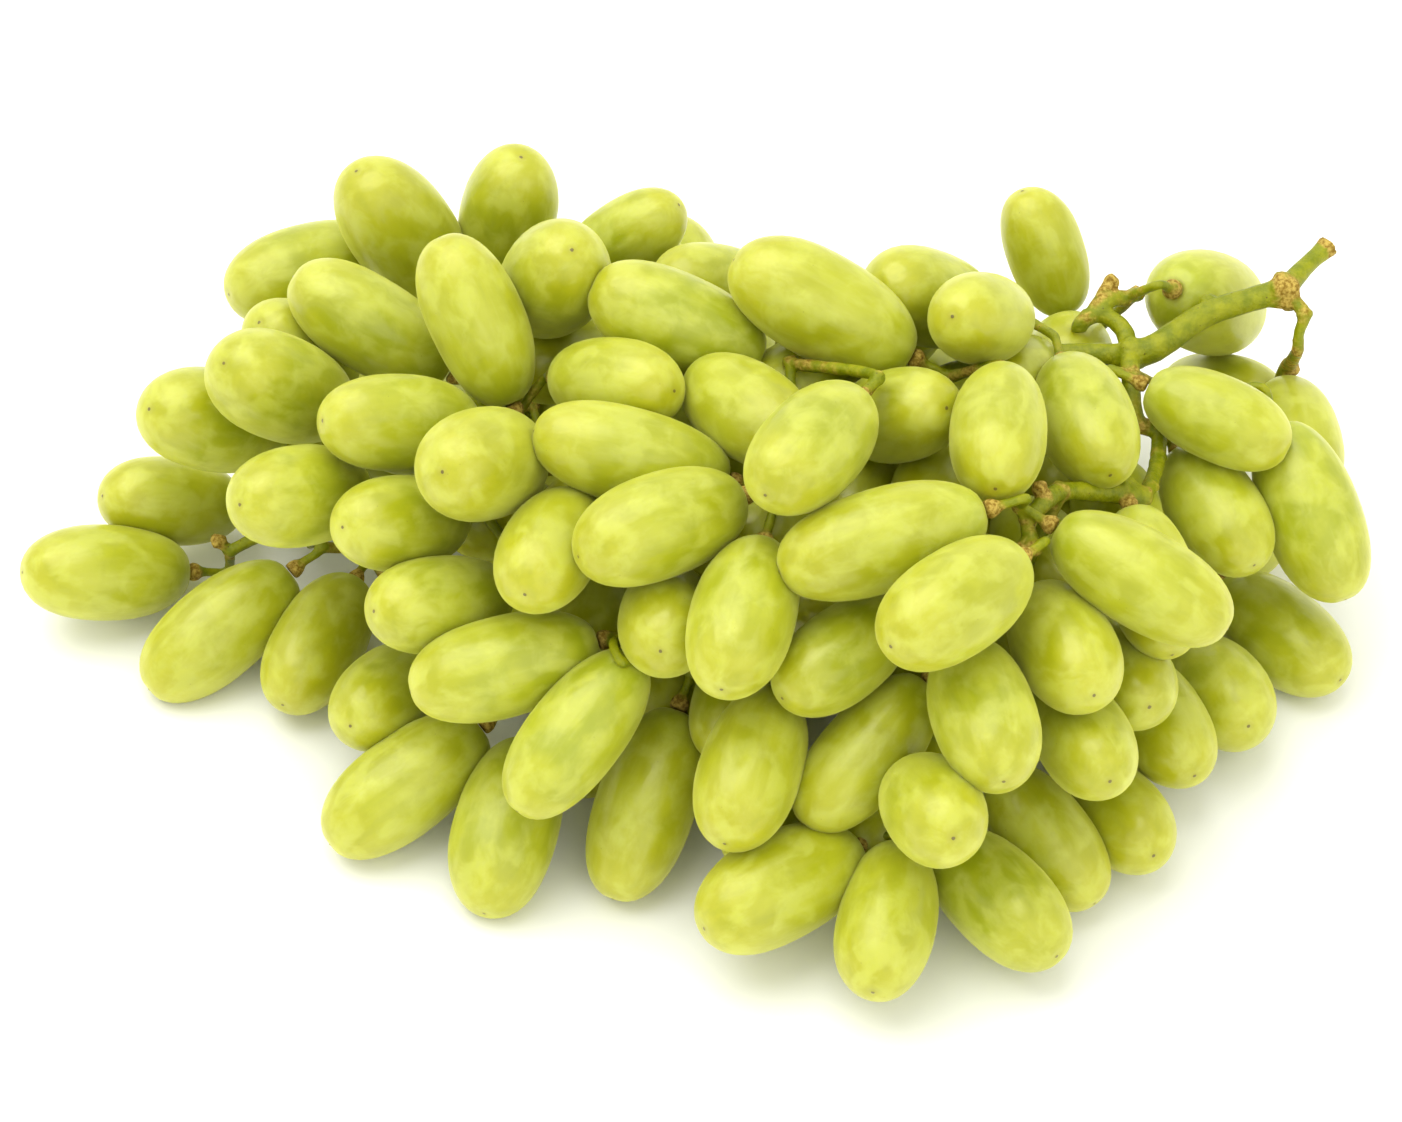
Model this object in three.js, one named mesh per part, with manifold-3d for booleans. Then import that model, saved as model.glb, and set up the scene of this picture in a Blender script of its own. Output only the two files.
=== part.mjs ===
// Bunch of long green grapes lying on its side, peduncle to the right.
// Millimetres, +Z up, origin on the resting plane under the middle of the bunch.
import * as THREE from 'three';
import { mergeVertices } from 'three/addons/utils/BufferGeometryUtils.js';
import Module from 'manifold-3d';

// ---- driving dimensions (mm) ----
const BUNCH_HALF_X = 107;         // half length of the mound of berry centres
const BUNCH_HALF_Y = 69;          // half depth of the mound of berry centres
const BUNCH_TOP_Z = 64;           // height of the highest berry centres
const BUNCH_MID = [4, 22];        // middle of the mound on the resting plane
const BERRY_ROUND = 2.25;         // fullness of a berry outline, 2 is an ellipse
const BERRY_TAPER = 0.035;        // a berry is this much slimmer at its stem end
const BERRY_LENGTH_RATIO = 1.8;   // usual length over width of a berry
const BERRY_HALF_WIDTH = 8.4;     // usual half width of a berry
const PRESS = 0.6;                // neighbouring berries flatten on each other this much
const SINK = 0.8;                 // lowest berries flatten this much on the resting plane
const CLEAR = 0.3;                // gap between separate bodies
const CUT_CLEAR = CLEAR + 0.03;   // gap that the cuts leave, with room for rounding
const FINEST = 0.05;              // detail smaller than this is merged
const SMALLEST_BODY = 60;         // loose scraps of less than this volume are dropped

const PEDICEL_LENGTH = 6.5;
const PEDICEL_RADIUS = 0.75;
const CUP_RADIUS = 1.9;           // swollen receptacle under each berry
const CUP_LENGTH = 1.7;
const BRANCH_RADIUS = 1.0;
const RACHIS_RADIUS = 2.0;
const RACHIS_STEP = 7;            // shoots may leave the rachis this far apart
const PEDUNCLE_RADIUS = 2.3;
const SHOOT_SPACING = 2.3;        // side shoots leave a branch this far apart
const SHARP_TURN = 0.3;           // cosine of the sharpest bend one run makes
const LIFT = 2;                   // stems keep this far off the resting plane
const WAY_CLEAR = 0.3;            // stems keep this far from the berries they pass
const BALL_MARGIN = 1.02;         // and take each berry to be this much larger
const MOST_SHOOTS = 3;            // a stem point carries at most one more shoot than this

const SEEN_SIDES = 7;             // facets around a berry of the facing side
const HIDDEN_SIDES = 6;           // facets around any other berry
const BERRY_BANDS = 5;
const THIN_SIDES = 3;             // facets around a pedicel among the berries
const STEM_SIDES = 5;
const PEDUNCLE_SIDES = 7;

// ---- slanted elevation sheet the front berries are set out on ----
const SHEET_PER_MM = 5.9;         // sheet units in a millimetre at the middle plane
const SHEET_MID = [701, 561];
const SHEET_LEAN = 45;            // degrees the sheet's normal stands above level
const SHEET_EYE = 700;            // distance of the sheet's centre of perspective
const SHEET_HEIGHT = 35;          // height of the sheet's middle point

const MIDDLE = [-2.4, 13];         // layout point that becomes the origin

// Berries on the facing side, rearmost first: name, tip, stem end, width and how it lies.
// 0 rests on its neighbours, 1 lies on the plane, 2 is sunk inside, 3 points away.
const FACING = [
  ['f01', 505, 375, 640, 345, 88, 2], ['f02', 445, 530, 560, 505, 86, 2],
  ['f03', 740, 570, 800, 470, 88, 2], ['f04', 830, 560, 900, 440, 90, 2],
  ['f05', 745, 400, 880, 360, 92, 2], ['f06', 575, 675, 620, 560, 92, 2],
  ['f07', 1050, 520, 1080, 400, 92, 2], ['f08', 1120, 570, 1112, 455, 92, 2],
  ['f10', 1075, 610, 1010, 500, 88, 2], ['f11', 725, 850, 850, 800, 92, 2],
  ['f12', 905, 530, 970, 440, 84, 2], ['f13', 1030, 380, 1110, 330, 88, 2],
  ['f14', 985, 400, 1060, 350, 84, 2], ['f15', 850, 870, 900, 760, 88, 2],
  ['f16', 925, 800, 950, 690, 84, 2], ['f17', 660, 740, 710, 620, 90, 2],
  ['f18', 715, 760, 760, 630, 88, 2], ['f19', 790, 640, 860, 560, 84, 2],
  ['b01', 229, 298, 385, 246, 98, 0], ['b03', 528, 153, 486, 281, 98, 0],
  ['b02', 357, 170, 449, 298, 107, 0], ['b08', 254, 318, 350, 385, 92, 0],
  ['b04', 682, 206, 566, 274, 82, 0], ['b14', 652, 280, 785, 300, 93, 0],
  ['b24', 862, 285, 995, 310, 100, 0], ['b26', 1020, 191, 1071, 314, 78, 0],
  ['b27', 1268, 312, 1143, 292, 105, 3], ['b33', 1282, 415, 1163, 380, 92, 0],
  ['b34', 1302, 503, 1289, 376, 90, 0], ['b65', 101, 495, 243, 508, 91, 0],
  ['b10', 146, 409, 285, 432, 104, 0], ['b66', 234, 507, 368, 485, 101, 0],
  ['b09', 217, 361, 345, 414, 107, 0], ['b05', 595, 238, 511, 322, 106, 0],
  ['b06', 294, 277, 450, 373, 97, 0], ['b13', 591, 286, 764, 359, 101, 0],
  ['b15', 734, 260, 913, 356, 106, 0], ['b16', 683, 394, 547, 374, 93, 0],
  ['b17', 806, 451, 688, 369, 98, 0], ['b07', 441, 238, 512, 404, 97, 0],
  ['b67', 336, 530, 468, 515, 97, 0], ['b11', 321, 423, 478, 422, 98, 0],
  ['b12', 422, 480, 546, 448, 113, 0], ['b25', 929, 324, 1036, 312, 91, 0],
  ['b20', 959, 410, 838, 420, 97, 0], ['b29', 1106, 486, 1066, 352, 97, 0],
  ['b28', 989, 500, 1008, 363, 97, 0], ['b64', 25, 573, 188, 572, 97, 1],
  ['b63', 147, 691, 293, 569, 99, 1], ['b62', 283, 712, 354, 574, 98, 1],
  ['b60', 343, 737, 429, 655, 96, 0], ['b61', 369, 613, 512, 594, 98, 0],
  ['b58', 329, 844, 483, 726, 102, 1], ['b59', 410, 691, 600, 641, 104, 0],
  ['b68', 520, 607, 582, 491, 100, 0], ['b57', 485, 914, 529, 738, 108, 1],
  ['b55', 613, 900, 679, 707, 103, 1], ['b56', 517, 811, 637, 655, 98, 0],
  ['b54', 655, 674, 680, 565, 100, 0], ['b52', 723, 846, 780, 689, 104, 0],
  ['b51', 779, 700, 905, 608, 94, 0], ['b53', 720, 694, 766, 538, 106, 0],
  ['b23', 780, 570, 986, 510, 102, 0], ['b19', 760, 502, 865, 391, 103, 0],
  ['b21', 533, 432, 731, 480, 97, 0], ['b22', 577, 557, 745, 495, 106, 0],
  ['b49', 701, 925, 861, 849, 107, 1], ['b50', 804, 825, 928, 681, 94, 0],
  ['b45', 1156, 861, 1076, 767, 94, 1], ['b38', 1338, 684, 1223, 582, 96, 1],
  ['b39', 1250, 742, 1187, 640, 100, 1], ['b41', 1191, 782, 1129, 660, 94, 1],
  ['b40', 1150, 723, 1098, 625, 94, 0], ['b42', 1110, 791, 1052, 681, 96, 0],
  ['b48', 869, 992, 905, 848, 98, 1], ['b44', 1092, 903, 1000, 772, 92, 1],
  ['b47', 1054, 954, 942, 842, 100, 1], ['b46', 964, 853, 900, 765, 99, 0],
  ['b43', 1002, 786, 964, 640, 103, 0], ['b32', 1342, 599, 1279, 424, 96, 0],
  ['b31', 1250, 572, 1181, 446, 93, 0], ['b30', 1286, 451, 1148, 385, 86, 0],
  ['f09', 1168, 655, 1134, 507, 90, 2], ['b37', 1092, 706, 1036, 586, 100, 0],
  ['b36', 885, 647, 1027, 557, 107, 0], ['b35', 1224, 628, 1058, 528, 98, 0],
];
const LIES = { neighbours: 0, plane: 1, inside: 2, away: 3 };
const LOW_BUT_OPEN = 'f09';        // a sunk berry whose pedicel still shows
const SHOOT_BERRY = 'b34';         // the one berry on the peduncle's own side shoot

// Outline of the bunch on the sheet, without the stems and the lone berry at the left end.
const OUTLINE = [
  [101, 500], [118, 462], [148, 450], [150, 395], [215, 370], [250, 318], [230, 290], [290, 230],
  [345, 218], [345, 180], [380, 165], [425, 175], [465, 205], [490, 160], [530, 155], [558, 210],
  [590, 215], [655, 192], [688, 215], [730, 250], [800, 248], [870, 268], [930, 255], [980, 275],
  [1015, 290], [1085, 320], [1120, 335], [1170, 262], [1230, 255], [1262, 290], [1250, 345], [1262, 372],
  [1330, 395], [1345, 460], [1362, 520], [1362, 580], [1330, 600], [1342, 655], [1335, 688], [1270, 690],
  [1262, 730], [1230, 750], [1200, 780], [1165, 790], [1160, 855], [1115, 865], [1095, 900], [1062, 905],
  [1050, 955], [1005, 955], [940, 925], [905, 985], [865, 985], [840, 950], [800, 930], [725, 940],
  [700, 905], [715, 865], [700, 810], [650, 895], [612, 895], [590, 850], [560, 845], [515, 910],
  [470, 905], [452, 850], [400, 830], [350, 850], [325, 830], [345, 785], [325, 735], [285, 712],
  [260, 690], [225, 685], [165, 700], [142, 680], [165, 620], [220, 580], [200, 535], [140, 545],
];
// Open gaps one can look through: centre and radius on the sheet.
const GAPS = [[1138, 405, 8], [1145, 446, 7], [215, 556, 14], [256, 551, 7], [335, 566, 12]];

// ---- small vector helpers ----
const add = (a, b) => [a[0] + b[0], a[1] + b[1], a[2] + b[2]];
const sub = (a, b) => [a[0] - b[0], a[1] - b[1], a[2] - b[2]];
const mul = (a, k) => [a[0] * k, a[1] * k, a[2] * k];
const dot = (a, b) => a[0] * b[0] + a[1] * b[1] + a[2] * b[2];
const len = (a) => Math.sqrt(dot(a, a));
const unit = (a) => mul(a, 1 / (len(a) || 1));
const clamp = (x, lo, hi) => Math.max(lo, Math.min(hi, x));
const FAR = 1e9;
const NO_TOUCH = -9;

function randomDraw(seed) {
  let state = seed;
  return () => {
    state = (state * 1664525 + 1013904223) % 4294967296;
    return state / 4294967296;
  };
}

// ---- sheet to space ----
const LEAN_S = Math.sin(SHEET_LEAN * Math.PI / 180);
const LEAN_C = Math.cos(SHEET_LEAN * Math.PI / 180);
const UP = [0, LEAN_S, LEAN_C];
const OUT = [0, -LEAN_C, LEAN_S];
const onSheet = (px, py) => [(px - SHEET_MID[0]) / SHEET_PER_MM, (SHEET_MID[1] - py) / SHEET_PER_MM];

function place(u, v, w) {
  const k = 1 - w / SHEET_EYE;
  return [k * u, k * v * UP[1] + w * OUT[1], SHEET_HEIGHT + k * v * UP[2] + w * OUT[2]];
}

// The point under a sheet position at a given height.
function atHeight(px, py, z) {
  const [u, v] = onSheet(px, py);
  const w = (z - SHEET_HEIGHT - v * LEAN_C) / (LEAN_S - v * LEAN_C / SHEET_EYE);
  return place(u, v, w);
}

// Sheet position and depth of a point.
function toSheet(p) {
  const q = [p[0], p[1], p[2] - SHEET_HEIGHT];
  const w = dot(q, OUT);
  const k = 1 - w / SHEET_EYE;
  return [SHEET_MID[0] + q[0] / k * SHEET_PER_MM, SHEET_MID[1] - dot(q, UP) / k * SHEET_PER_MM, w];
}

// ---- berries as chains of balls ----
// A berry has its centre c, its axis d towards the tip, half length A and half width B.
function ballsOf(b) {
  const tip = b.B * b.B / b.A * 1.15;
  const far = b.A - tip;
  const shoulder = b.B * Math.sqrt(1 - 0.25 * (b.A * b.A - b.B * b.B) / (b.A * b.A)) * 0.99;
  const chain = [[-1, tip], [-0.5, shoulder], [0, b.B], [0.5, shoulder], [1, tip]];
  return chain.map(([f, r]) => [...add(b.c, mul(b.d, f * far)), r * (1 + BERRY_TAPER * f)]);
}

function moveTo(b, c) {
  b.c = c;
  b.balls = ballsOf(b);
}

function lowest(b) {
  const steep = b.d[2] * b.d[2];
  return b.c[2] - Math.sqrt(b.A * b.A * steep + b.B * b.B * (1 - steep));
}

// How deep two berries press into each other; negative when they are apart.
function overlap(p, q) {
  const reach = p.A + q.A;
  if (Math.abs(p.c[0] - q.c[0]) > reach || len(sub(p.c, q.c)) > reach + 3) return NO_TOUCH;
  let most = NO_TOUCH;
  for (const a of p.balls) for (const b of q.balls) most = Math.max(most, a[3] + b[3] - len(sub(a, b)));
  return most;
}

// ---- the facing side ----
// Depth of the mound's surface under a sheet position.
function moundDepth(u, v) {
  const x = (u - BUNCH_MID[0]) / BUNCH_HALF_X;
  const y0 = v * UP[1] - BUNCH_MID[1];
  const z0 = SHEET_HEIGHT + v * UP[2];
  const Y = BUNCH_HALF_Y * BUNCH_HALF_Y;
  const Z = BUNCH_TOP_Z * BUNCH_TOP_Z;
  const a = OUT[1] * OUT[1] / Y + OUT[2] * OUT[2] / Z;
  const b = 2 * (y0 * OUT[1] / Y + z0 * OUT[2] / Z);
  const c = x * x + y0 * y0 / Y + z0 * z0 / Z - 1;
  return (-b + Math.sqrt(Math.max(0, b * b - 4 * a * c))) / (2 * a);
}

const INSIDE_DEPTH = 15;          // sunk berries lie this far under the mound's surface
const STEEPEST = 0.02;            // least share of a berry's length squared that shows level
const FREE_ON_PLANE = 0.12;       // how readily a berry on the plane gives way
const PULL = 0.06;                // how strongly a berry is drawn to its own depth in one round
const PULLED_ROUNDS = 150;
const ALL_ROUNDS = 220;
const GIVE = 0.55;                // share of an overlap that one round undoes

function facingBerry([name, tx, ty, sx, sy, width, lie]) {
  const [tu, tv] = onSheet(tx, ty);
  const [su, sv] = onSheet(sx, sy);
  const u = (tu + su) / 2;
  const v = (tv + sv) / 2;
  const a = Math.hypot(tu - su, tv - sv) / 2;
  const half = width / SHEET_PER_MM / 2;
  const whole = Math.max(a * 1.01, BERRY_LENGTH_RATIO * half);
  const level = clamp((a * a - half * half) / (whole * whole - half * half), STEEPEST, 1);
  const across = Math.sqrt(level);
  const deep = Math.sqrt(1 - level) * (lie === LIES.away ? -1 : 1);
  const du = (tu - su) / (2 * a);
  const dv = (tv - sv) / (2 * a);
  const d = unit([du * across, dv * across * UP[1] + deep * OUT[1], dv * across * UP[2] + deep * OUT[2]]);
  const w = moundDepth(u, v) - (lie === LIES.inside ? INSIDE_DEPTH : 0);
  const k = 1 - w / SHEET_EYE;    // its size is true at its own distance
  const inner = lie === LIES.inside && name !== LOW_BUT_OPEN;
  return { name, u, v, w, d, A: whole * k, B: half * k, lie, seen: true, inner };
}

const settle = (b) => moveTo(b, place(b.u, b.v, b.w));

function liftToPlane(b) {
  b.w += (-SINK - lowest(b)) / OUT[2];
  settle(b);
}

// How much further apart in depth two berries must be to press on each other only lightly.
function pushNeeded(back, front) {
  let need = 0;
  for (const p of back.balls) {
    for (const q of front.balls) {
      const off = sub(q, p);
      const h = off[1] * OUT[1] + off[2] * OUT[2];
      const flat = dot(off, off) - h * h;
      const r = p[3] + q[3] - PRESS;
      if (flat < r * r) need = Math.max(need, Math.sqrt(r * r - flat) - h);
    }
  }
  return need;
}

function pushApart(back, front) {
  const need = pushNeeded(back, front);
  if (need <= 0) return;
  const s = GIVE * need / (back.free + front.free);
  front.w += s * front.free;
  back.w -= s * back.free;
  settle(front);
  settle(back);
}

// Each berry keeps its place on the sheet and finds its depth by rounds of pushing and pulling.
function facingBerries() {
  const list = FACING.map(facingBerry);
  for (const b of list) {
    settle(b);
    if (b.lie === LIES.plane || lowest(b) < -SINK) for (let n = 0; n < 4; n++) liftToPlane(b);
    b.aim = b.w;
    b.free = b.lie === LIES.plane ? FREE_ON_PLANE : 1;
  }
  const pairs = [];
  for (const [i, p] of list.entries()) {
    for (const q of list.slice(i + 1)) if (Math.hypot(p.u - q.u, p.v - q.v) < p.A + q.A) pairs.push([p, q]);
  }
  for (let round = 0; round < ALL_ROUNDS; round++) {
    const pull = round < PULLED_ROUNDS ? PULL : 0;
    for (const b of list) {
      b.w += pull * (b.aim - b.w);
      settle(b);
    }
    for (const [back, front] of pairs) pushApart(back, front);
    for (const b of list) if (lowest(b) < -SINK) liftToPlane(b);
  }
  return list;
}

// ---- the rachis, from the peduncle's junction to the left end ----
const RACHIS = [
  atHeight(1130, 354, 45), [52, 42, 43], [24, 30, 41], [-8, 24, 38], [-38, 23, 32], [-62, 24, 24],
  atHeight(254, 538, 15), atHeight(230, 551, 12),
];

function toSegment(p, a, b) {
  const ab = sub(b, a);
  const t = clamp(dot(sub(p, a), ab) / dot(ab, ab), 0, 1);
  return len(sub(p, add(a, mul(ab, t))));
}

// ---- the berries behind, under and inside ----
// directions in which a ball's rim is tested on the sheet
const AROUND = [[1, 0], [-1, 0], [0, 1], [0, -1], [0.7, 0.7], [-0.7, 0.7], [0.7, -0.7], [-0.7, -0.7]];
const SEED = 20417;
const UNDER_TRIES = 900;
const REAR_TRIES = 1600;
const INNER_TRIES = 1500;
const SLIDE = 0.75;               // one step of a berry that slides into place
const RACHIS_ROOM = 2.6;          // berries keep this far from the rachis

function insideOutline(x, y) {
  let inside = false;
  for (const [i, [xi, yi]] of OUTLINE.entries()) {
    const [xj, yj] = OUTLINE.at(i - 1);
    if ((yi > y) !== (yj > y) && x < (xj - xi) * (y - yi) / (yj - yi) + xi) inside = !inside;
  }
  return inside;
}

// A rear or inner berry keeps behind the facing ones, inside the outline, off the gaps and the rachis.
function mayStand(b, list) {
  for (const [x, y, z, r] of b.balls) {
    const [sx, sy, w] = toSheet([x, y, z]);
    const rs = r * SHEET_PER_MM / (1 - w / SHEET_EYE);
    if (!AROUND.every(([dx, dy]) => insideOutline(sx + dx * rs, sy + dy * rs))) return false;
    if (GAPS.some(([gx, gy, gr]) => Math.hypot(sx - gx, sy - gy) < gr + rs)) return false;
    for (let i = 1; i < RACHIS.length; i++) {
      if (toSegment([x, y, z], RACHIS[i - 1], RACHIS[i]) < r + RACHIS_ROOM) return false;
    }
    for (const o of list) {
      if (!o.seen) continue;
      const [ox, oy, ow] = toSheet(o.c);
      if (w > ow - 1 && Math.hypot(sx - ox, sy - oy) < 0.9 * rs + 0.8 * o.B * SHEET_PER_MM) return false;
    }
  }
  return true;
}

const pressOn = (b, list) => list.reduce((most, o) => Math.max(most, overlap(b, o)), NO_TOUCH);

// Moves a berry by steps until it presses on a neighbour.
function slide(b, way, most, list) {
  for (let n = 0; n < most; n++) {
    const before = b.c;
    moveTo(b, add(b.c, mul(way, SLIDE)));
    if (pressOn(b, list) > PRESS) {
      moveTo(b, before);
      return;
    }
  }
}

function restOfBerries(list) {
  const draw = randomDraw(SEED);
  const between = (lo, hi) => lo + (hi - lo) * draw();
  const make = (c, d) => {
    const B = BERRY_HALF_WIDTH * between(0.94, 1.06);
    const b = { d, A: B * BERRY_LENGTH_RATIO * between(0.95, 1.1), B, seen: false };
    moveTo(b, c);
    return b;
  };
  // lowest layer, lying nearly level on the plane with the tips outward
  for (let n = 0; n < UNDER_TRIES; n++) {
    const t = between(0, 2 * Math.PI);
    const s = Math.sqrt(between(0.05, 1));
    const x = BUNCH_MID[0] + (BUNCH_HALF_X - 12) * s * Math.cos(t);
    const y = BUNCH_MID[1] + (BUNCH_HALF_Y + 2) * s * Math.sin(t);
    const heading = Math.atan2(y - BUNCH_MID[1], (x - BUNCH_MID[0]) * 0.55) + between(-0.55, 0.55);
    const pitch = between(-0.25, 0.2);
    const level = Math.cos(pitch);
    const b = make([x, y, 20], [Math.cos(heading) * level, Math.sin(heading) * level, Math.sin(pitch)]);
    moveTo(b, add(b.c, [0, 0, -SINK - lowest(b)]));
    if (pressOn(b, list) > PRESS) continue;
    slide(b, unit([BUNCH_MID[0] - x, BUNCH_MID[1] - y, 0]), 14, list);
    if (mayStand(b, list)) list.push(b);
  }
  // rear side from the lowest layer up to the crest, tips outward
  for (let n = 0; n < REAR_TRIES; n++) {
    const x = between(-0.92, 0.92);
    const rise = between(0.12, 1.75);
    const k = Math.sqrt(1 - x * x);
    const px = BUNCH_MID[0] + x * BUNCH_HALF_X;
    const py = BUNCH_MID[1] + (BUNCH_HALF_Y + 7) * k * Math.cos(rise);
    const pz = (BUNCH_TOP_Z + 7) * k * Math.sin(rise);
    const dx = x * 0.9 + between(-0.45, 0.45);
    const dy = Math.cos(rise) + between(-0.35, 0.35);
    const d = unit([dx, dy, 0.75 * Math.sin(rise) + between(-0.45, 0.3)]);
    const b = make(add([px, py, pz], mul(d, -13)), d);
    if (lowest(b) < -SINK || pressOn(b, list) > PRESS) continue;
    slide(b, unit([-x * 40, 28 - py, 30 - pz]), 20, list);
    if (lowest(b) >= -SINK && mayStand(b, list)) list.push(b);
  }
  // inside, behind the outer ones
  for (let n = 0; n < INNER_TRIES; n++) {
    const x = between(-80, 85);
    const y = between(-35, 75);
    const z = between(9, 55);
    const dx = x * 0.012 + between(-0.5, 0.5);
    const dy = (y - 26) * 0.03 + between(-0.4, 0.4);
    const d = unit([dx, dy, (z - 34) * 0.03 + between(-0.4, 0.4)]);
    const b = make([x, y, z], d);
    if (lowest(b) < -SINK || pressOn(b, list) > PRESS) continue;
    slide(b, d, 10, list);
    if (lowest(b) < -SINK || !mayStand(b, list)) continue;
    b.inner = true;
    list.push(b);
  }
}

// ---- stem: rachis, seen branches, and a branching rule for the rest ----
// berries whose pedicels can be seen from outside
const OPEN_STEMS = [
  'b15', 'b07', 'b22', 'b53', 'b59', 'b50', 'b49', 'b48', 'b57', 'b58', 'b55', 'b36', 'b37', 'b35', 'b23',
  'b25', 'b26', 'b27', 'b30', 'b34', 'f09', 'b64', 'b63', 'b62',
];
// sheet position and height of each point, from the rachis outward
const BRANCHES = [
  [[1130, 354, 45], [1122, 328, 46], [1100, 314, 47], [1087, 318, 47], [1079, 325, 46]],
  [[1100, 314, 47], [1109, 300, 48], [1125, 298, 47], [1136, 294, 45]],
  [
    [1130, 354, 45], [1131, 376, 46], [1138, 424, 42], [1156, 430, 41], [1158, 456, 41], [1150, 486, 43],
    [1146, 496, 44],
  ],
  [[1084, 479, 50], [1060, 492, 54], [1046, 501, 56], [1028, 522, 56], [1033, 548, 55]],
];
const PEDUNCLE = [
  [1130, 354, 45], [1150, 350, 46], [1205, 315, 49], [1256, 298, 51], [1283, 291, 52], [1306, 266, 53],
  [1328, 246, 54],
];
const PEDUNCLE_NODE = 4;          // the point of the peduncle that carries the side shoot
const SIDE_SHOOT = [[1283, 291, 52], [1304, 314, 50], [1299, 333, 47], [1298, 350, 44]];
const STUBS = [
  [[1087, 318, 47], [1111, 281, 50]],
  [[230, 551, 12], [218, 541, 14]],
  [[1046, 501, 56], [1040, 489, 58]],
];

function alongCurve(points, spacing) {
  const curve = new THREE.CatmullRomCurve3(points.map((p) => new THREE.Vector3(...p)));
  const n = Math.max(1, Math.round(curve.getLength() / spacing));
  return curve.getSpacedPoints(n).map((v) => v.toArray());
}

// Moves a stem point out of the berries around it.
function clearOf(p, r, list) {
  let q = p;
  let moved = true;
  for (let n = 0; n < 14 && moved; n++) {
    moved = false;
    for (const b of list) {
      if (len(sub(q, b.c)) > b.A + r + 2) continue;
      for (const ball of b.balls) {
        const away = sub(q, ball);
        const l = len(away) || 1;
        const lack = ball[3] * BALL_MARGIN + r + 0.45 - l;
        if (lack <= 0) continue;
        q = add(q, mul(away, lack / l * 0.8));
        moved = true;
      }
    }
  }
  return q[2] < r + LIFT ? [q[0], q[1], r + LIFT] : q;
}

const branchRadius = (load) => clamp(0.72 + 0.13 * Math.sqrt(load), 0.8, 1.5);

function runsClear(p, q, r, list) {
  for (const b of list) {
    if (toSegment(b.c, p, q) > b.A + r + 1) continue;
    if (b.balls.some((ball) => toSegment(ball, p, q) < ball[3] * BALL_MARGIN + r + WAY_CLEAR)) return false;
  }
  return true;
}

// A bent run between two stem points that keeps out of the berries.
const ROUTE_STEPS = 7;
const ROUTE_ROUNDS = 10;
const SHORTEST_STEP = 1.2;
function route(p, q, r, list) {
  if (runsClear(p, q, r, list)) return [p, q];
  const n = ROUTE_STEPS;
  const pts = Array.from({ length: n + 1 }, (_, i) => add(mul(p, 1 - i / n), mul(q, i / n)));
  for (let round = 0; round < ROUTE_ROUNDS; round++) {
    for (let i = 1; i < n; i++) pts[i] = clearOf(pts[i], r, list);
    for (let i = 1; i < n; i++) pts[i] = add(mul(pts[i], 0.6), mul(add(pts[i - 1], pts[i + 1]), 0.2));
  }
  for (let i = 1; i < n; i++) pts[i] = clearOf(pts[i], r, list);
  const kept = [p];
  for (let i = 0; i < n;) {
    let j = n;
    while (j > i + 1 && !runsClear(pts[i], pts[j], r, list)) j--;
    kept.push(pts[j]);
    i = j;
  }
  const last = kept.length - 1;
  return kept.filter((x, i) => i === 0 || i === last || len(sub(x, kept[i - 1])) > SHORTEST_STEP);
}

// A point of the stem: its place, the index of the one it grows from, how many shoots leave it and how
// many berries hang from it.
const OFF_THE_TREE = -2;
const stemNode = (p, up, kind) => ({ p, up, kind, kids: 0, load: 0 });

function nearestNode(nodes, p) {
  const far = nodes.map((n) => len(sub(n.p, p)));
  return far.indexOf(Math.min(...far));
}

function addBranch(nodes, path) {
  let up = nearestNode(nodes, atHeight(...path[0]));
  const chain = [nodes[up].p];
  for (const q of path.slice(1)) {
    nodes.push(stemNode(atHeight(...q), up, 'branch'));
    up = nodes.length - 1;
    chain.push(nodes[up].p);
  }
  nodes[up].chain = chain;
}

// Joins every berry, nearest first, to the nearest point of the stem so far.
function addPedicels(nodes, list) {
  const left = list.filter((b) => !b.inner).map((b) => {
    const end = sub(b.c, mul(b.d, b.A + CLEAR));
    return { b, end, knee: clearOf(sub(end, mul(b.d, PEDICEL_LENGTH)), BRANCH_RADIUS, list) };
  });
  while (left.length) {
    let pick = null;
    let best = FAR;
    for (const k of left) {
      for (const [i, n] of nodes.entries()) {
        if (n.kids > MOST_SHOOTS || (n.kind === 'shoot' && k.b.name !== SHOOT_BERRY)) continue;
        const l = len(sub(n.p, k.knee)) + (n.kind === 'knee' ? 1.5 : 0);
        if (l >= best) continue;
        best = l;
        pick = [k, i];
      }
    }
    const [k, up] = pick;
    left.splice(left.indexOf(k), 1);
    k.b.knee = nodes.length;
    nodes.push({ ...stemNode(k.knee, up, 'knee'), turn: nodes[up].kids, berry: k.b, end: k.end });
    nodes[up].kids++;
  }
}

// Where a pedicel leaves its branch: a little behind the last shoot.
function leavingPoint(n, run) {
  let from = run.at(-1);
  let left = n.turn * SHOOT_SPACING;
  for (let i = run.length - 1; i > 0 && left > 0; i--) {
    const back = sub(run[i - 1], run[i]);
    const l = len(back);
    from = add(run[i], mul(back, Math.min(1, left / l, i > 1 ? 1 : 0.85)));
    left -= l;
  }
  return from;
}

function runPedicel(n, nodes, list) {
  const on = nodes[n.up];
  n.from = leavingPoint(n, on.way || (on.up >= 0 ? [nodes[on.up].p, on.p] : [on.p]));
  n.r = branchRadius(n.load);
  const others = list.filter((b) => b !== n.berry);
  n.open = OPEN_STEMS.includes(n.berry.name);
  n.straight = !n.open && !n.kids && runsClear(n.from, n.end, n.r, others);
  if (n.straight) n.way = [n.from];
  else n.way = len(sub(n.p, n.from)) > 1.5 ? route(n.from, n.p, n.r, list) : [n.from, n.p];
}

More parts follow.
